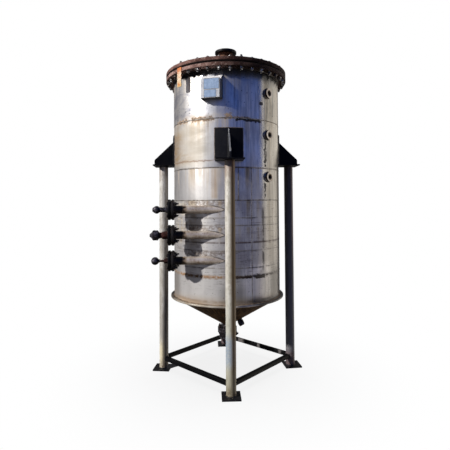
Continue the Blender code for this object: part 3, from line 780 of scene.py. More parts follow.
def soften(points, size):
    """Rounds each corner of a turned outline a little, apart from those on the axis."""
    result = []
    for i, point in enumerate(points):
        here = Vector(point)
        if point[0] == 0:
            result.append(tuple(here))
            continue
        ends = []
        for other in (points[i - 1], points[(i + 1) % len(points)]):
            way = Vector(other) - here
            ends.append(here + way.normalized() * min(size, way.length * 0.4))
        result += [tuple(ends[0]), tuple((ends[0] + ends[1]) / 4 + here / 2), tuple(ends[1])]
    return result


def soften_flat(outline, size):
    """Rounds the corners of a flat outline with four steps each."""
    result = []
    for i, corner in enumerate(outline):
        here = Vector(corner)
        a = here + (Vector(outline[i - 1]) - here).normalized() * size
        b = here + (Vector(outline[(i + 1) % len(outline)]) - here).normalized() * size
        for k in range(5):
            t = k / 4
            result.append(tuple(a * (1 - t) ** 2 + here * 2 * t * (1 - t) + b * t * t))
    return result


def rectangle(left, right, low, high):
    """A flat outline."""
    return [(left, low), (right, low), (right, high), (left, high)]


def rod(radius, low, high):
    """The half outline of a solid bar."""
    return [(0, high), (radius, high), (radius, low), (0, low)]


def tube(radius, bore, low, high):
    """The half outline of a tube."""
    return [(radius, high), (radius, low), (bore, low), (bore, high)]


def stepped(start, end, steps):
    """Evenly spaced points from one to the other."""
    return [tuple(a + (b - a) * k / steps for a, b in zip(start, end)) for k in range(steps + 1)]


def row_of(bm, place, spots):
    """Adds vertices at local spots."""
    return [bm.verts.new(place @ Vector(spot)) for spot in spots]


def lathe(bm, points, segments, place=Matrix.Identity(4)):
    """Adds a turned closed outline of (radius, height) points to a bmesh."""
    rows = []
    for radius, height in points:
        angles = turns(segments if radius > 1e-6 else 1)
        rows.append(row_of(bm, place, [on_circle(radius, angle, height) for angle in angles]))
    for row, below in zip(rows, rows[1:] + rows[:1]):
        for k in range(segments):
            m = (k + 1) % segments
            corners = [row[k % len(row)], row[m % len(row)], below[m % len(below)], below[k % len(below)]]
            unique = list(dict.fromkeys(corners))
            if len(unique) > 2:
                bm.faces.new(unique)


def loft(bm, rows, closed=False):
    """Joins closed rows of vertices into a skin, with a face at each end unless it runs round."""
    for a, b in zip(rows, rows[1:] + rows[:1] if closed else rows[1:]):
        for k in range(len(a)):
            m = (k + 1) % len(a)
            bm.faces.new([a[k], a[m], b[m], b[k]])
    if not closed:
        bm.faces.new(rows[0][::-1])
        bm.faces.new(rows[-1])


def prism(bm, outline, thickness, place):
    """Adds a flat outline made solid, centred on its own plane."""
    half = thickness / 2
    loft(bm, [row_of(bm, place, [(u, v, height) for u, v in outline]) for height in (-half, half)])


def hexagon(bm, across, low, high, place, turn=0.0):
    """Adds a hex nut or head with chamfered corners, from low to high on local Z."""
    corner = across / sqrt(3)
    chamfer = (high - low) * 0.14
    rows = []
    for scale, height in ((0.90, low), (1, low + chamfer), (1, high - chamfer), (0.90, high)):
        spots = [on_circle(corner * scale, turn + angle, height) for angle in turns(6)]
        rows.append(row_of(bm, place, spots))
    loft(bm, rows)


def threaded(bm, radius, low, high, place, segments=12):
    """Adds a threaded rod: its ridges are 2.2 mm apart."""
    steps = 2 * max(2, int((high - low) / 0.0022))
    ridges = [(radius * (1.0 if i % 2 else 0.92), high - (high - low) * i / steps) for i in range(steps + 1)]
    lathe(bm, [(0, high), *ridges, (0, low)], segments, place)


def bevelled(piece, width):
    """Bevels a piece's sharp edges."""
    edge = piece.modifiers.new("bevel", "BEVEL")
    edge.width = width
    edge.segments = 2
    edge.limit_method = "ANGLE"
    edge.angle_limit = radians(50)
    return edge


def placed(name, bm):
    """Turns a bmesh into an object of the scene."""
    bmesh.ops.recalc_face_normals(bm, faces=bm.faces)
    mesh = bpy.data.meshes.new(name)
    bm.to_mesh(mesh)
    bm.free()
    holder = bpy.data.objects.new(name, mesh)
    bpy.context.scene.collection.objects.link(holder)
    return holder


def make(name, bm, mat, slot, *nodes, sharp=28, bevel=0.0):
    """Turns a bmesh into a piece that rides on the tank."""
    bmesh.ops.remove_doubles(bm, verts=bm.verts, dist=1e-6)
    piece = placed(name, bm)
    piece.data.shade_smooth()
    piece.data.set_sharp_from_angle(angle=radians(sharp))
    piece.data.materials.append(mat)
    if bevel:
        bevelled(piece, bevel).harden_normals = True
    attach(piece, "root")
    if nodes:
        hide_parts(*nodes)
    return piece


def turned(name, points, mat, slot, *nodes, segments=64, place=Matrix.Identity(4), soft=0.0012):
    """A turned piece with softened corners."""
    bm = bmesh.new()
    lathe(bm, soften(points, soft), segments, place)
    return make(name, bm, mat, slot, *nodes)


def weld(name, bm, mat, slot="weathered_stainless"):
    """A piece made of weld beads."""
    return make(name, bm, mat, slot, sharp=60)


def paint_faces(piece, mat, chosen):
    """Gives a material to the faces that are chosen."""
    piece.data.materials.append(mat)
    for face in piece.data.polygons:
        if chosen(face):
            face.material_index = len(piece.data.materials) - 1


def cut(piece, cutters):
    """Cuts turned bores, each (outline, steps round, place), out of a piece."""
    bm = bmesh.new()
    for points, segments, place in cutters:
        lathe(bm, points, segments, place)
    cutter = placed("cutter", bm)
    modifier = piece.modifiers.new("bores", "BOOLEAN")
    modifier.operation = "DIFFERENCE"
    modifier.solver = "EXACT"
    modifier.object = cutter
    bpy.context.view_layer.update()
    evaluated = piece.evaluated_get(bpy.context.evaluated_depsgraph_get())
    result = bpy.data.meshes.new_from_object(evaluated)
    piece.modifiers.clear()
    piece.data = result
    result.set_sharp_from_angle(angle=radians(28))
    bpy.data.objects.remove(cutter)


def bead(bm, spots, normals, width, height, closed=True):
    """Adds a rippled weld bead along a path that lies on a surface."""
    count = len(spots)
    rings = []
    for i, (spot, normal) in enumerate(zip(spots, normals)):
        ahead = spots[(i + 1) % count] if closed or i + 1 < count else spots[i]
        behind = spots[i - 1] if closed or i else spots[i]
        side = normal.cross((ahead - behind).normalized()).normalized()
        ripple = 1 + (0.16, -0.02, -0.14)[i % 3] + RANDOM.uniform(-0.04, 0.04)
        ring = []
        for angle in (-90, -45, 0, 45, 90):
            across = side * (sin(radians(angle)) * width / 2)
            ring.append(bm.verts.new(spot + across + normal * (cos(radians(angle)) * height * ripple)))
        for across in (0.30, -0.30):
            ring.append(bm.verts.new(spot + side * across * width - normal * SINK * 2))
        rings.append(ring)
    loft(bm, rings, closed)


def resampled(points, closed):
    """Points at an even step along a path, as many as a ripple's three steps need."""
    path = list(points) + ([points[0]] if closed else [])
    lengths = [0.0]
    for a, b in zip(path[:-1], path[1:]):
        lengths.append(lengths[-1] + (b - a).length)
    count = max(6, ceil(lengths[-1] / RIPPLE / 3) * 3)
    result = []
    spot = 0
    for i in range(count if closed else count + 1):
        target = lengths[-1] * i / count
        while spot < len(lengths) - 2 and lengths[spot + 1] < target:
            spot += 1
        span = lengths[spot + 1] - lengths[spot]
        share = (target - lengths[spot]) / span if span > 1e-9 else 0.0
        result.append(path[spot].lerp(path[spot + 1], share))
    return result


def ring_bead(bm, radius, height, width, tall, lean=0.0, start=0.0, end=360.0):
    """Adds a bead round the tank. Its normal leans up from straight out."""
    closed = end - start >= 360
    steps = 720
    points = []
    for i in range(steps if closed else steps + 1):
        angle = radians(start + (end - start) * i / steps)
        points.append(Vector((radius * sin(angle), -radius * cos(angle), height)))
    spots = resampled(points, closed)
    outs = [Vector((spot.x, spot.y, 0)).normalized() for spot in spots]
    normals = [out * cos(lean) + Vector((0, 0, sin(lean))) for out in outs]
    bead(bm, spots, normals, width, tall, closed)


def line_bead(bm, place, start, end, lean, width, tall):
    """Adds a straight bead between two local spots. Its normal points along a local way."""
    spots = resampled([place @ Vector(start), place @ Vector(end)], False)
    normal = (place.to_3x3() @ Vector(lean)).normalized()
    bead(bm, spots, [normal] * len(spots), width, tall, False)


def upright_bead(bm, turn, radius, low, high, width, tall):
    """Adds a bead that runs up the shell. The turn is in degrees."""
    line_bead(bm, turn_z(radians(turn)), (0, -radius, low), (0, -radius, high), (0, -1, 0), width, tall)


def leg_bead(bm, spot, rise, width, tall):
    """Adds a bead round a leg. Its normal leans up by the rise, or down where that is negative."""
    spots = [spot + on_circle(LEG * 1.01, angle) for angle in turns(LEG_STEPS)]
    normals = [((s - spot).normalized() * 0.75 + Vector((0, 0, rise))).normalized() for s in spots]
    bead(bm, spots, normals, width, tall)


def dent(x, y, height):
    """How far the plate lies inside its true radius, in metres."""
    out = Vector((x, y, 0)).normalized() * 1.6
    wave = noise.noise(Vector((out.x, out.y, height * 1.5 + 4))) * 0.5 + 0.5
    pull = max(0.0, 1 - min(abs(height - seam) for seam in SEAMS) / 0.045)
    return 0.0013 * wave + 0.0007 * pull * pull


def make_courses():
    """The four rolled courses, slightly uneven, with the couplings' holes."""
    levels = (SHELL_BOTTOM, *SEAMS, FLANGE_TOP - GAP)
    for i, node in enumerate(COURSES):
        low = levels[i] + GAP / 2
        high = levels[i + 1] - GAP / 2
        outer = stepped((SHELL, high), (SHELL, low), max(8, int((high - low) / 0.022)))
        bm = bmesh.new()
        lathe(bm, [*outer, (SHELL - WALL, low), (SHELL - WALL, high)], AROUND)
        for vert in bm.verts:
            radius = hypot(vert.co.x, vert.co.y)
            if radius > SHELL - 0.001:
                inward = dent(*vert.co)
                vert.co.x *= 1 - inward / radius
                vert.co.y *= 1 - inward / radius
        piece = make(node.replace("shell", "plate"), bm, COURSE_STEELS[i], "weathered_stainless", node)
        if i > 0:
            place = facing_out(COUPLING_TURN, SHELL, COUPLING_HEIGHTS[-i])
            cut(piece, [(rod(COUPLING_BORE, -4 * WALL, 4 * WALL), 40, place)])


def make_shell_welds():
    """The beads along the shell's seams, belts and upright joints."""
    bm = bmesh.new()
    for seam in SEAMS:
        ring_bead(bm, SHELL - 0.0018, seam, 0.010, 0.0026)
    weld("girth_welds", bm, SHELL_WELD)
    bm = bmesh.new()
    ring_bead(bm, SHELL - 0.0012, RUST_LINE, 0.012, 0.0022)
    for edge in BELT_EDGES:
        ring_bead(bm, SHELL - 0.0012, edge, 0.006, 0.0014)
    weld("belt_welds", bm, COURSE_STEELS[0])
    bm = bmesh.new()
    for turn, low, high in ((22.6, 0.760, 1.975), (9, 1.69, 1.975), (-128, 1.985, 2.423), (163, 0.760, 1.68),
                            (118, 2.432, 2.875), (-84, 2.432, 2.875)):
        upright_bead(bm, turn, SHELL - 0.0014, low, high, 0.009, 0.0024)
    weld("upright_welds", bm, SHELL_WELD)


def make_top():
    """The body flange, gasket and cover, and what stands on them."""
    turned("flange_ring", tube(FLANGE, SHELL + GAP, FLANGE_LOW, FLANGE_TOP), FLANGE_RUST, "rusty_steel",
           "body_flange", segments=AROUND, soft=0.002)
    turned("gasket_ring", tube(BOLT_CIRCLE, SHELL - WALL, FLANGE_TOP + GAP, COVER_LOW - GAP), GASKET,
           "gasket_rubber", "cover_gasket", segments=AROUND, soft=0.0008)
    turned("cover_disc", tube(FLANGE, NECK_BORE, COVER_LOW, COVER_TOP), COVER_RUST, "rusty_steel",
           "cover_plate", segments=AROUND, soft=0.002)
    make_nozzle()
    make_flange_bolts()
    bm = bmesh.new()
    ring_bead(bm, SHELL + 0.0004, FLANGE_LOW - 0.0012, 0.014, 0.0045, radians(-45))
    # The weld under the flange is dark, as rust and painted shade
    weld("flange_weld", bm, RUST_AND_SHADE_WELD)
    bm = bmesh.new()
    ring_bead(bm, NECK + 0.0008, COVER_TOP + 0.0006, 0.012, 0.0045, radians(45))
    ring_bead(bm, NECK - 0.0010, NECK_TOP - 0.0002, 0.008, 0.0022)
    weld("nozzle_weld", bm, RUST_AND_SHADE_WELD, "rusty_steel")


def make_nozzle():
    """The top nozzle's neck, and its flange with eight holes."""
    turned("nozzle_neck", tube(NECK, NECK_BORE, COVER_TOP + GAP, NECK_TOP - GAP), NECK_RUST, "rusty_steel",
           "top_nozzle_neck")
    rim = NOZZLE_TOP - 0.002
    low = NOZZLE_TOP - 0.024
    profile = [(0.111, rim), (0.111, low), (0.074, low), (0.0690, low - 0.012), (NECK, NECK_TOP),
               (NECK_BORE, NECK_TOP), (NECK_BORE, NOZZLE_TOP), (0.086, NOZZLE_TOP), (0.088, rim)]
    flange = turned("nozzle_flange", profile, BLACK_IRON, "black_paint", "top_nozzle_flange", segments=96)
    spots = [on_circle(0.0945, angle + radians(22.5), 3.2) for angle in turns(8)]
    cut(flange, [(rod(0.0085, -0.02, 0.05), 20, Matrix.Translation(spot)) for spot in spots])
    paint_faces(flange, NECK_RUST, lambda face: face.center.z < low - 0.0008)


def make_flange_bolts():
    """The studs, nuts and washers round the body flange, some studs longer than the others."""
    nut = 0.030
    stud = 0.0095
    washer_low = FLANGE_LOW - 0.0025
    bm = bmesh.new()
    for k in range(BOLTS):
        place = out_at(radians(360 / BOLTS * (k + 0.12)), BOLT_CIRCLE)
        reach = 0.026 if RANDOM.random() < 0.3 else 0.013
        top = COVER_TOP + reach + RANDOM.uniform(-0.001, 0.003)
        low_tip = FLANGE_LOW - 0.030 - RANDOM.uniform(0, 0.012)
        hexagon(bm, nut, washer_low - 0.020, washer_low, place, RANDOM.uniform(0, 1))
        lathe(bm, rod(0.0185, washer_low, FLANGE_LOW), 20, place)
        hexagon(bm, nut, COVER_TOP + 0.0005, COVER_TOP + 0.0110, place, RANDOM.uniform(0, 1))
        threaded(bm, stud, low_tip, FLANGE_LOW + 0.004, place)
        threaded(bm, stud, COVER_TOP - 0.004, top, place)
        lathe(bm, rod(stud - 0.0002, FLANGE_TOP - 0.004, COVER_LOW + 0.004), 12, place)
    make("flange_bolts", bm, BOLT, "dark_steel", sharp=30)


def make_bottom():
    """The ring at the shell's foot, the cone and their welds, with the stub and the outlet below."""
    ring_top = SHELL_BOTTOM + RING_HIGH
    turned("foot_ring", tube(0.5665, SHELL + GAP, SHELL_BOTTOM, ring_top), RING_STEEL,
           "weathered_stainless", "bottom_ring", segments=AROUND, soft=0.003)
    height = SHELL_BOTTOM - CONE_SLOPE * (SHELL - STUB_CIRCLE)
    place = out_at(STUB_TURN, STUB_CIRCLE, height) @ turn_x(pi - atan(CONE_SLOPE))
    cut(make_cone(), [(rod(0.0243, -3 * WALL, 3 * WALL), 40, place)])
    make_stub(place)
    bm = bmesh.new()
    down = (place.to_3x3() @ Vector((0, 0, 1))).normalized()
    bead(bm, [place @ on_circle(0.0246, angle) for angle in turns(60)], [down] * 60, 0.010, 0.0045)
    ring_bead(bm, OUTLET + 0.0003, CONE_TIP + 0.0004, 0.010, 0.003, radians(-35))
    weld("cone_welds", bm, BLACK_WELD, "dark_steel")
    bm = bmesh.new()
    ring_bead(bm, SHELL + 0.0012, ring_top, 0.010, 0.0040, radians(45))
    ring_bead(bm, SHELL + 0.0004, SHELL_BOTTOM - 0.0010, 0.014, 0.0040, radians(-70))
    weld("ring_welds", bm, RING_WELD)
    make_outlet()


def make_cone():
    """The cone, slightly uneven."""
    top = SHELL_BOTTOM - GAP / 2
    rise = WALL / cos(atan(CONE_SLOPE))
    bm = bmesh.new()
    outer = stepped((SHELL, top), (OUTLET, CONE_TIP), 24)
    lathe(bm, [*outer, (OUTLET_BORE, CONE_TIP), (OUTLET_BORE, CONE_TIP + rise), (SHELL - WALL, top)], AROUND)
    for vert in bm.verts:
        if 0.06 < hypot(vert.co.x, vert.co.y) < SHELL - 0.02:
            vert.co.z += 0.0012 * noise.noise(Vector((vert.co.x * 5, vert.co.y * 5, 9)))
    return make("cone_plate", bm, CONE, "stained_cone_steel", "bottom_cone")


def make_stub(place):
    """The threaded drain stub, with a thicker sleeve round its root."""
    stub = [(0.024, -0.0104), (0.024, 0.036)]
    for i in range(10):
        stub += [(0.0240, 0.0372 + i * 0.0024), (0.0228, 0.0384 + i * 0.0024)]
    stub += [(0.0236, 0.062), (0.019, 0.062), (0.019, -0.0104)]
    bm = bmesh.new()
    lathe(bm, stub, 40, place)
    lathe(bm, [(0.0235, 0.0100), (0.0275, 0.0110), (0.0295, 0.0150), (0.0295, 0.0400), (0.0285, 0.0490),
               (0.0262, 0.0560), (0.0235, 0.0605)], 40, place)
    make("drain_stub", bm, IRON_WITH_GLINTS, "dark_steel", "cone_drain_stub")


def make_outlet():
    """The outlet's neck, valve and bolts, under the cone's tip."""
    rim = 0.096
    thick = 0.026
    face = 0.378
    neck_top = face + thick
    neck = [(OUTLET, CONE_TIP - GAP), (OUTLET, neck_top + 0.018), (0.053, neck_top), (rim, neck_top),
            (rim, face), (OUTLET_BORE, face), (OUTLET_BORE, CONE_TIP - GAP)]
    turned("outlet_flange_neck", neck, IRON_WITH_GLINTS, "black_paint", "outlet_neck", segments=72)
    high = face - GAP
    under = high - thick
    low = high - 0.082
    flange = low + 0.016
    body = [(rim, high), (rim, under), (0.058, under), (0.066, under - 0.010), (0.066, flange + 0.010),
            (0.060, flange), (0.082, flange), (0.082, low), (OUTLET_BORE, low), (OUTLET_BORE, high)]
    bm = bmesh.new()
    lathe(bm, soften(body, 0.0012), 72)
    stem = facing_out(radians(90), 0, (under + flange) / 2)
    gland = [(0, 0.112), (0.009, 0.112), (0.009, 0.100), (0.019, 0.100), (0.019, 0.058), (0, 0.058)]
    lathe(bm, soften(gland, 0.001), 28, stem)
    hexagon(bm, 0.030, 0.080, 0.094, stem)
    make("outlet_valve_body", bm, IRON_WITH_GLINTS, "dark_steel", "outlet_valve")
    bm = bmesh.new()
    for k, angle in enumerate(turns(8)):
        place = out_at(angle + radians(22.5), 0.0815)
        hexagon(bm, 0.022, neck_top, neck_top + 0.013, place, k)
        threaded(bm, 0.007, neck_top + 0.004, neck_top + 0.024, place, 10)
        hexagon(bm, 0.022, under - 0.013, under, place, k)
        threaded(bm, 0.007, under - 0.020, under - 0.004, place, 10)
    make("outlet_bolts", bm, SMALL_BOLT, "dark_steel")


def arc(radius, start):
    """Points of an arc about the tank's axis, from an angle to its opposite, counted from -Y."""
    angles = [start * (1 - i / 12) for i in range(25)]
    return [(radius * sin(a), -radius * cos(a)) for a in angles]


def make_brackets():
    """Pad, shelf and gusset over each leg."""
    inner = SHELL + GAP
    tall = PAD_TOP - SHELF_LOW
    half = SHELF_WIDTH / 2
    root = PAD_OUTER - 0.003
    edge = GUSSET_REACH
    pad = arc(inner, -PAD_HALF) + arc(PAD_OUTER, PAD_HALF)
    shelf = [(-half, -SHELF_REACH), (half, -SHELF_REACH)] + arc(inner + 0.001, PAD_HALF)
    gusset = [(root, SHELF_TOP - 0.001), (edge, SHELF_TOP - 0.001), (edge, 2.092), (0.7346, 2.100),
              (0.7300, 2.108), (0.718, 2.118), (root, 2.288)]
    for i, side in enumerate(SIDES):
        front = side == "front"
        turn = turn_z(i * pi / 2)
        bm = bmesh.new()
        prism(bm, pad, tall, turn @ lifted(SHELF_LOW + tall / 2))
        prism(bm, shelf, SHELF_THICK, turn @ lifted(SHELF_LOW + SHELF_THICK / 2))
        prism(bm, gusset, 0.016, turn @ turn_z(radians(-90)) @ turn_x(radians(90)))
        # The side brackets take the darker black, as painted shade
        plates = make(f"bracket_plates_{side}", bm, BLACK if front else BLACK_AND_SHADE, "black_paint",
                      f"bracket_{side}", sharp=20, bevel=0.0012)
        if front:
            # The front bracket's right half and underside take the darker black, as painted shade
            paint_faces(plates, BLACK_AND_SHADE, lambda face: face.center.x > 0.004
                        or face.center.z < SHELF_TOP + 0.0005)
            # A painted highlight on the gusset's sloping edge
            paint_faces(plates, GUSSET_HIGHLIGHT, lambda face: face.normal.y < -0.3 and face.normal.z > 0.3)
        make_bracket_welds(side, turn, i * 90)


def make_bracket_welds(side, turn, middle):
    """The beads round one bracket's pad, over and along its gusset, and round its leg's top."""
    wide = degrees(PAD_HALF) + 0.35
    reach = SHELL + 0.0002
    bm = bmesh.new()
    ring_bead(bm, reach, PAD_TOP + 0.0025, 0.012, 0.0050, 0, middle - wide, middle + wide)
    for sign in (-1, 1):
        upright_bead(bm, middle + sign * wide, reach, SHELF_TOP, PAD_TOP + 0.002, 0.012, 0.0050)
    weld(f"pad_welds_{side}", bm, PAD_WELD)
    bm = bmesh.new()
    line_bead(bm, turn, (0, -PAD_OUTER, 2.283), (0, -PAD_OUTER, PAD_TOP - 0.006), (0, -1, 0), 0.010, 0.0040)
    # The front gusset's tip weld takes the painted highlight
    weld(f"tip_weld_{side}", bm, GUSSET_HIGHLIGHT if side == "front" else BLACK_WELD, "black_paint")
    bm = bmesh.new()
    for sign in (-1, 1):
        x = sign * 0.0095
        corner = (x, -PAD_OUTER, SHELF_TOP)
        line_bead(bm, turn, corner, (x, -GUSSET_REACH, SHELF_TOP), (sign, 0, 1), 0.009, 0.0032)
        line_bead(bm, turn, corner, (x, -PAD_OUTER, 2.285), (sign, -1, 0), 0.009, 0.0032)
    leg_bead(bm, turn @ Vector((0, -LEG_CIRCLE, SHELF_LOW - 0.0008)), -0.66, 0.010, 0.0045)
    weld(f"bracket_welds_{side}", bm, BLACK_WELD, "black_paint")


def make_legs():
    """The pipe legs and their foot plates."""
    finishes = ((FRONT_LEG, "leg_galvanised"), (DARK_LEG, "dark_steel"), (DARK_LEG, "dark_steel"),
                (LEFT_LEG, "leg_galvanised"))
    low = FOOT_THICK + GAP
    high = SHELF_LOW - GAP
    half = FOOT / 2
    for i, side in enumerate(SIDES):
        paint, slot = finishes[i]
        turn = turn_z(i * pi / 2)
        spot = turn @ Vector((0, -LEG_CIRCLE, 0))
        bm = bmesh.new()
        outer = stepped((LEG, high), (LEG, low), 60)
        lathe(bm, [*outer, (LEG - LEG_WALL, low), (LEG - LEG_WALL, high)], 56, Matrix.Translation(spot))
        make(f"pipe_leg_{side}", bm, paint, slot, f"leg_{side}")
        bm = bmesh.new()
        middle = turn @ Vector((0, -LEG_CIRCLE - FOOT_SHIFTS[i], FOOT_THICK / 2))
        prism(bm, soften_flat(rectangle(-half, half, -half, half), 0.003), FOOT_THICK,
              Matrix.Translation(middle) @ turn_z(FOOT_TURNS[i]))
        make(f"foot_plate_{side}", bm, BLACK, "black_paint", f"foot_{side}", sharp=20, bevel=0.0014)
        bm = bmesh.new()
        leg_bead(bm, spot + Vector((0, 0, FOOT_THICK + 0.0008)), 0.66, 0.012, 0.0055)
        weld(f"foot_weld_{side}", bm, BLACK_WELD, "black_paint")


def make_braces():
    """The square tubes between the legs, and the knee plate at the left foot."""
    length = LEG_CIRCLE * sqrt(2)
    half = BRACE / 2
    section = soften_flat(rectangle(-half, half, -half, half), 0.0055)
    for i, span in enumerate(("front_right", "back_right", "back_left", "front_left")):
        place = out_at(radians(45) + i * pi / 2, length / 2, BRACE_HEIGHT)
        bm = bmesh.new()
        prism(bm, section, length - 2 * sqrt(LEG ** 2 - half ** 2) + 0.002,
              place @ turn_z(radians(90)) @ turn_x(radians(90)))
        make(f"square_tube_{span}", bm, BRACE_BLACK, "black_paint", f"brace_{span}", sharp=20)
        bm = bmesh.new()
        for sign in (-1, 1):
            path = []
            for u, v in section:
                reach = length / 2 - sqrt((LEG + 0.0006) ** 2 - u * u)
                path.append(place @ Vector((sign * reach, u, v)))
            spots = resampled(path, True)
            middle = place @ Vector((sign * (length / 2 - LEG), 0, 0))
            inward = place.to_3x3() @ Vector((-sign * 0.6, 0, 0))
            bead(bm, spots, [((s - middle).normalized() + inward).normalized() for s in spots], 0.008, 0.0034)
        weld(f"tube_welds_{span}", bm, BLACK_WELD, "black_paint")
    low = FOOT_THICK + GAP
    high = BRACE_HEIGHT - half - GAP
    outline = [(0.0435, low), (0.082, low), (0.235, high), (0.165, high), (0.0435, low + 0.030)]
    place = Matrix.Translation((-LEG_CIRCLE, 0, 0)) @ turn_z(radians(-45))
    bm = bmesh.new()
    prism(bm, outline, 0.010, place @ turn_x(radians(90)))
    make("knee_plate_left", bm, BLACK, "black_paint", "knee_bar_left", sharp=20, bevel=0.0012)


def make_inlets():
    """The side inlets: pipe, pair of bolted flanges and end fitting."""
    bore = INLET - 0.006
    rim = INLET_FLANGE
    start = 0.02
    tube_side = stepped((INLET, INLET_BACK - 0.022), (INLET, start), 24)
    pipe = [(rim - 0.008, INLET_FACE), (rim, INLET_FACE - 0.006), (rim, INLET_BACK + 0.002),
            (rim - 0.002, INLET_BACK), (0.047, INLET_BACK), (0.043, INLET_BACK - 0.010), *tube_side,
            (bore, start), (bore, INLET_FACE)]
    plate = [(0, INLET_END), (rim - 0.002, INLET_END), (rim, INLET_END - 0.002), (rim, INLET_LOW + 0.006),
             (rim - 0.008, INLET_LOW), (0.062, INLET_LOW), (0.062, INLET_JOINT), (0, INLET_JOINT)]
    for level, height in zip(LEVELS, INLET_HEIGHTS):
        place = Matrix.Translation((0, -INLET_OFFSET, height)) @ Matrix.Rotation(radians(-90), 4, "Y")
        bm = bmesh.new()
        lathe(bm, pipe, 56, place)
        make(f"inlet_tube_{level}", bm, PIPE_STEEL, "weathered_stainless", f"inlet_pipe_{level}")
        turned(f"inlet_cover_{level}", plate, BLACK_IRON, "dark_steel", f"inlet_end_flange_{level}",
               segments=72, place=place)
        make_inlet_bolts(level, place)
        make_fitting(level, place @ lifted(INLET_END + GAP))
        make_inlet_weld(level, height)


def make_inlet_bolts(level, place):
    """The four bolts of one inlet's flanges."""
    bm = bmesh.new()
    for angle in turns(4):
        spot = place @ Matrix.Translation(on_circle(0.0762, angle + radians(45)))
        hexagon(bm, 0.0290, INLET_BACK - 0.0170, INLET_BACK, spot, RANDOM.uniform(0, 1))
        hexagon(bm, 0.0270, INLET_END, INLET_END + 0.0100, spot, RANDOM.uniform(0, 1))
        threaded(bm, 0.0080, INLET_BACK - 0.034 - RANDOM.uniform(0, 0.008), INLET_BACK - 0.014, spot)
        lathe(bm, rod(0.0078, INLET_FACE - 0.002, INLET_LOW + 0.002), 12, spot)
    make(f"inlet_bolts_{level}", bm, SMALL_BOLT, "dark_steel")


def make_inlet_weld(level, height):
    """The bead where one inlet's pipe meets the shell at a tangent."""
    bm = bmesh.new()
    spots = []
    normals = []
    for angle in turns(240):
        y = max(0.0008 - SHELL, -INLET_OFFSET - INLET * 1.01 * cos(angle))
        spot = Vector((-sqrt(SHELL ** 2 - y * y), y, height + INLET * 1.01 * sin(angle)))
        spots.append(spot)
        out = Vector((spot.x, spot.y, 0)).normalized()
        normals.append((out + Vector((0, -cos(angle), sin(angle))) * 0.8).normalized())
    bead(bm, spots, normals, 0.010, 0.0036)
    weld(f"inlet_weld_{level}", bm, SHELL_WELD)


def make_fitting(level, place):
    """The fitting on one inlet's end flange, from its face outwards."""
    mat = RED_RUST
    bm = bmesh.new()
    if level == "upper":
        mat = IRON_WITH_GLINTS
        lathe(bm, soften(rod(0.021, 0, 0.072), 0.001), 32, place)
        cap = [(0, 0.142), (0.014, 0.1415), (0.020, 0.137), (0.024, 0.128), (0.031, 0.120), (0.035, 0.108),
               (0.0345, 0.096), (0.030, 0.086), (0.023, 0.080), (0.021, 0.070), (0, 0.070)]
        lathe(bm, cap, 40, place)
        hexagon(bm, 0.050, 0.004, 0.022, place)
    elif level == "middle":
        body = [(0, 0.080), (0.026, 0.078), (0.026, 0.057), (0.034, 0.050), (0.034, 0), (0, 0)]
        lathe(bm, soften(body, 0.001), 40, place)
        for k in range(4):
            lathe(bm, rod(0.0352, 0.006 + k * 0.010, 0.010 + k * 0.010), 40, place)
    else:
        lathe(bm, soften(rod(0.010, 0.030, 0.094), 0.001), 24, place)
        hexagon(bm, 0.041, 0, 0.038, place, 0.3)
    make(f"inlet_fitting_body_{level}", bm, mat, "dark_steel", f"inlet_fitting_{level}")
    if level == "middle":
        bm = bmesh.new()
        cap = [(0, 0.166), (0.012, 0.166), (0.024, 0.150), (0.045, 0.136), (0.045, 0.092), (0.037, 0.089),
               (0.026, 0.077), (0, 0.077)]
        lathe(bm, soften(cap, 0.0015), 40, place)
        lever = place @ Matrix.Translation((0.030, 0.030, 0.118)) @ Matrix.Rotation(radians(28), 4, "Y")
        outline = soften_flat([(-0.009, -0.004), (0.009, -0.004), (0.006, 0.030), (-0.006, 0.030)], 0.003)
        prism(bm, outline, 0.005, lever @ turn_x(radians(40)))
        make("cam_cap_middle", bm, IRON_WITH_GLINTS, "dark_steel", sharp=30)
    if level == "lower":
        bm = bmesh.new()
        ball = [on_circle(0.035, pi * k / 16) for k in range(17)]
        lathe(bm, [(spot.y, 0.118 + spot.x) for spot in ball], 40, place)
        lathe(bm, soften(rod(0.016, 0.080, 0.096), 0.001), 28, place)
        make("ball_end_lower", bm, IRON_WITH_GLINTS, "dark_steel", sharp=30)


def make_couplings():
    """The thick couplings on the right front, threaded inside."""
    points = [(COUPLING, COUPLING_REACH), (COUPLING, -0.0015), (COUPLING_BORE, -0.0055)]
    for k in range(8):
        points += [(0.0190, -0.003 + k * 0.0032), (COUPLING_BORE, -0.0014 + k * 0.0032)]
    points += [(0.0200, COUPLING_REACH - 0.0050), (0.0265, COUPLING_REACH - 0.0012), (0.0285, COUPLING_REACH)]
    for level, height in zip(LEVELS, COUPLING_HEIGHTS):
        place = facing_out(COUPLING_TURN, SHELL, height)
        back = place.inverted()
        bm = bmesh.new()
        lathe(bm, points, 56, place)
        ring = make(f"coupling_ring_{level}", bm, COUPLING_STEEL, "weathered_stainless", f"coupling_{level}",
                    bevel=0.0008)
        # The hub's outer side takes the dark weld colour, as painted shade with weld
        paint_faces(ring, RUST_AND_SHADE_WELD, lambda face: (back @ face.center).xy.length > COUPLING - 0.0009
                    and (back @ face.center).z < COUPLING_REACH - 0.0012)
        paint_faces(ring, BORE, lambda face: (back @ face.center).xy.length < 0.0275)
        make_coupling_weld(level, place)


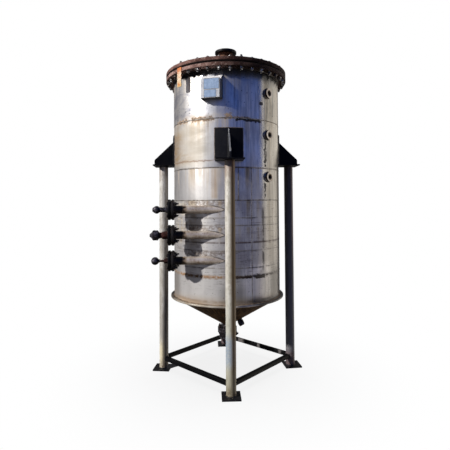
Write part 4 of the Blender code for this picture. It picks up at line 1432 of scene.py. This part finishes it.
def make_coupling_weld(level, place):
    """The bead round one coupling."""
    bm = bmesh.new()
    spots = []
    normals = []
    for angle in turns(120):
        spot = on_circle(COUPLING + 0.0005, angle)
        spot.z = sqrt(SHELL ** 2 - spot.x ** 2) - SHELL
        spots.append(place @ spot)
        normals.append((place.to_3x3() @ on_circle(1, angle, 0.8)).normalized())
    bead(bm, spots, normals, 0.012, 0.0046)
    weld(f"coupling_weld_{level}", bm, SHELL_WELD)


def make_nameplate():
    """The blank nameplate on its bent sheet bracket."""
    place = facing_out(PLATE_TURN, 0, PLATE_MIDDLE)
    make_plate_bracket(place)
    make_plate_box(place)
    stand = PLATE_FRONT + GAP
    for name, mat, edge, height in (("frames", BLACK, 0.0022, 0.0202), ("panels", PANEL, 0, 0.0206)):
        bm = bmesh.new()
        for left, right, low, high in ((-0.058, 0.078, -0.010, 0.082), (-0.056, 0.052, -0.083, -0.020)):
            outline = soften_flat(rectangle(left - edge, right + edge, low - edge, high + edge), 0.003)
            prism(bm, outline, 0.0016, place @ lifted(stand + height))
        make(f"plate_{name}", bm, mat, "plate_aluminium", sharp=30, bevel=0.0003)
    bm = bmesh.new()
    for u, v in ((-0.074, 0.079), (0.0815, 0.0845), (-0.080, -0.085), (0.076, -0.081)):
        lathe(bm, [(0, 0.0016), (0.0018, 0.0015), (0.0032, 0.0008), (0.0036, 0), (0, 0)], 16,
              place @ Matrix.Translation((u, v, stand + 0.0198)))
    make("plate_rivets", bm, PLATE, "plate_aluminium")


def make_plate_bracket(place):
    """The bent sheet: a front, a sloping top and two sides."""
    slope = 0.068 / (PLATE_FRONT - SHELL + 0.04)
    steps = 16
    bm = bmesh.new()
    sheet = []
    for k in range(steps + 1):
        u = PLATE_WIDE * (2 * k / steps - 1)
        reach = sqrt(SHELL ** 2 - u * u) + GAP
        top = PLATE_TALL + slope * (PLATE_FRONT - reach)
        column = [(u, -PLATE_TALL, PLATE_FRONT), (u, PLATE_TALL, PLATE_FRONT), (u, top, reach)]
        if k in (0, steps):
            column.append((u, -PLATE_TALL, reach))
        sheet.append(row_of(bm, place, column))
    for a, b in zip(sheet[:-1], sheet[1:]):
        bm.faces.new([a[0], b[0], b[1], a[1]])
        bm.faces.new([a[1], b[1], b[2], a[2]])
    bm.faces.new(sheet[0])
    bm.faces.new(sheet[-1])
    bracket = make("plate_bracket_sheet", bm, HOOD, "plate_aluminium", "nameplate_bracket", sharp=40)
    thick = bracket.modifiers.new("thickness", "SOLIDIFY")
    thick.thickness = 0.004
    thick.offset = -1
    thick.material_offset = 2
    bevelled(bracket, 0.0010)
    shade_sides(bracket, place)
    # The sheet's inner side takes the darker black as painted shade, for each of its two outer materials
    for _ in range(thick.material_offset):
        bracket.data.materials.append(BLACK_AND_SHADE)


def make_plate_box(place):
    """The flat box that carries the panels."""
    bm = bmesh.new()
    outline = soften_flat(rectangle(-0.0855, 0.0855, -PLATE_TALL, PLATE_TALL), 0.006)
    prism(bm, outline, 0.020, place @ lifted(PLATE_FRONT + GAP + 0.010))
    box = make("plate_box", bm, PLATE, "plate_aluminium", "nameplate_box", sharp=30, bevel=0.0015)
    shade_sides(box, place)
    # Painted shade on the box's underside
    paint_faces(box, BLACK_AND_SHADE, lambda face: face.normal.z < -0.7)


def shade_sides(piece, place):
    """Gives the faces that look sideways a darker copy of the sheet, as painted shade."""
    sideways = place.to_3x3() @ Vector((1, 0, 0))
    paint_faces(piece, PLATE_SHADE, lambda face: abs(sideways.dot(face.normal)) > 0.7)


def make_strap():
    """The flat strap that hangs from the flange's rim, a little bent."""
    place = facing_out(STRAP_TURN, FLANGE * cos(pi / 80) + GAP, 0)
    low = 2.737
    high = 2.918
    steps = 14
    bm = bmesh.new()
    rows = []
    for k in range(steps + 1):
        t = k / steps
        z = low + (high - low) * t
        bow = 0.0012 * sin(pi * min(1.0, t * 1.4)) if z < FLANGE_LOW else 0.0
        half = 0.029 if k else 0.026
        section = rectangle(-half, half, bow + 0.0002, bow + 0.0050)
        rows.append(row_of(bm, place, [(u, z, w) for u, w in section]))
    loft(bm, rows)
    make("strap_bar", bm, STRAP, "rusty_steel", "hanging_strap", sharp=30, bevel=0.0008)


def make_world():
    """Soft light from all around. Gloss sees a dusk-blue front, a warm right and a pale rest."""
    world = bpy.data.worlds.new("studio")
    bpy.context.scene.world = world
    world.use_nodes = True
    world.node_tree.nodes.clear()
    nodes = Nodes(world.node_tree)
    x, y, z, turn = nodes.split(nodes.add("ShaderNodeTexCoord", {}, "Generated"))
    low_front = nodes.mix(z.window(-2, -0.20, 0.05), (0.22, 0.20, 0.215), (0.38, 0.34, 0.325))
    low_front = nodes.mix(turn.window(58, 200, 26), low_front, (0.70, 0.63, 0.60))
    gloss = nodes.mix(turn.window(-160, -122, 10), (0.16, 0.155, 0.15), (0.20, 0.20, 0.215))
    gloss = nodes.mix(turn.window(-122, -22, 14), gloss, (0.31, 0.305, 0.34))
    gloss = nodes.mix(turn.window(82, 148, 4), gloss, (1.42, 1.33, 1.20))
    dusk = nodes.mix(z.window(-0.05, 2, 0.14), low_front, (0.012, 0.094, 0.46))
    gloss = nodes.mix(turn.window(-22, 78, 5), gloss, dusk)
    gloss = nodes.mix(z.window(-2, -0.66, 0.14), gloss, (0.085, 0.075, 0.068))
    soft = nodes.mix(z.window(0, 2, 0.3), (0.030, 0.028, 0.027), (0.060, 0.070, 0.095))
    seen = nodes.mix(nodes.add("ShaderNodeLightPath", {}, "Is Glossy Ray"), soft, gloss)
    seen = nodes.mix(nodes.add("ShaderNodeLightPath", {}, "Is Camera Ray"), seen, (1, 1, 1))
    light = nodes.add("ShaderNodeBackground", {"Color": seen})
    nodes.add("ShaderNodeOutputWorld", {"Surface": light})


def make_lights(floor):
    """A key light at the left front, and a soft overhead light for the floor alone."""
    sun = bpy.data.lights.new("key_light", "SUN")
    sun.energy = 4.5
    sun.angle = radians(2.2)
    sun.color = (1, 0.97, 0.93)
    key = bpy.data.objects.new("key_light", sun)
    turn = radians(-66)
    rise = radians(27)
    way = Vector((sin(turn) * cos(rise), -cos(turn) * cos(rise), sin(rise)))
    key.rotation_euler = way.to_track_quat("Z", "Y").to_euler()
    lamp = bpy.data.lights.new("floor_light", "AREA")
    lamp.shape = "DISK"
    lamp.size = 5
    lamp.energy = 420
    overhead = bpy.data.objects.new("floor_light", lamp)
    overhead.location = (0, 0, 6)
    for light in (key, overhead):
        bpy.context.scene.collection.objects.link(light)
        receivers = bpy.data.collections.new(f"{light.name}_receivers")
        receivers.objects.link(floor)
        light.light_linking.receiver_collection = receivers
    key.light_linking.receiver_collection.collection_objects[0].light_linking.link_state = "EXCLUDE"


def make_floor():
    """A plain pale floor that fades into the backdrop."""
    bm = bmesh.new()
    bm.faces.new([bm.verts.new((x, y, -0.0005)) for x, y in rectangle(-14, 14, -14, 14)])
    floor = placed("floor", bm)
    floor.visible_glossy = False
    floor.visible_diffuse = False
    p = Paint("pale_floor")
    p.colour = p.mix(p.noise(0.8, 3, 0.55).step(0.3, 0.7), (0.86, 0.86, 0.86), (0.84, 0.84, 0.84))
    floor.data.materials.append(p.finish(0.8, 0))
    glow = p.add("ShaderNodeEmission", {"Color": (1, 1, 1)})
    fade = p.radius.step(0.6, 1.9, 0.86, 1)
    blend = p.add("ShaderNodeMixShader", {0: fade, 1: Value(p, p.shader.outputs[0]), 2: glow})
    p.put(blend, p.tree.nodes["Material Output"].inputs["Surface"])
    return floor


def make_camera():
    """The camera, at the photograph's place and angle."""
    lens = bpy.data.cameras.new("camera")
    lens.sensor_width = 36
    lens.lens = FOCAL / PHOTO * lens.sensor_width
    lens.shift_y = (HORIZON - PHOTO / 2) / PHOTO
    lens.clip_end = 60
    camera = bpy.data.objects.new("camera", lens)
    place = out_at(-VIEW_TURN, DISTANCE, EYE)
    camera.matrix_world = place @ turn_z(AIM) @ turn_x(pi / 2 + TILT) @ turn_z(-ROLL)
    bpy.context.scene.collection.objects.link(camera)
    bpy.context.scene.camera = camera


make_camera()
make_courses()
make_shell_welds()
make_top()
make_bottom()
make_brackets()
make_legs()
make_braces()
make_inlets()
make_couplings()
make_nameplate()
make_strap()
make_world()
make_lights(make_floor())
bpy.context.scene.view_settings.view_transform = "Standard"
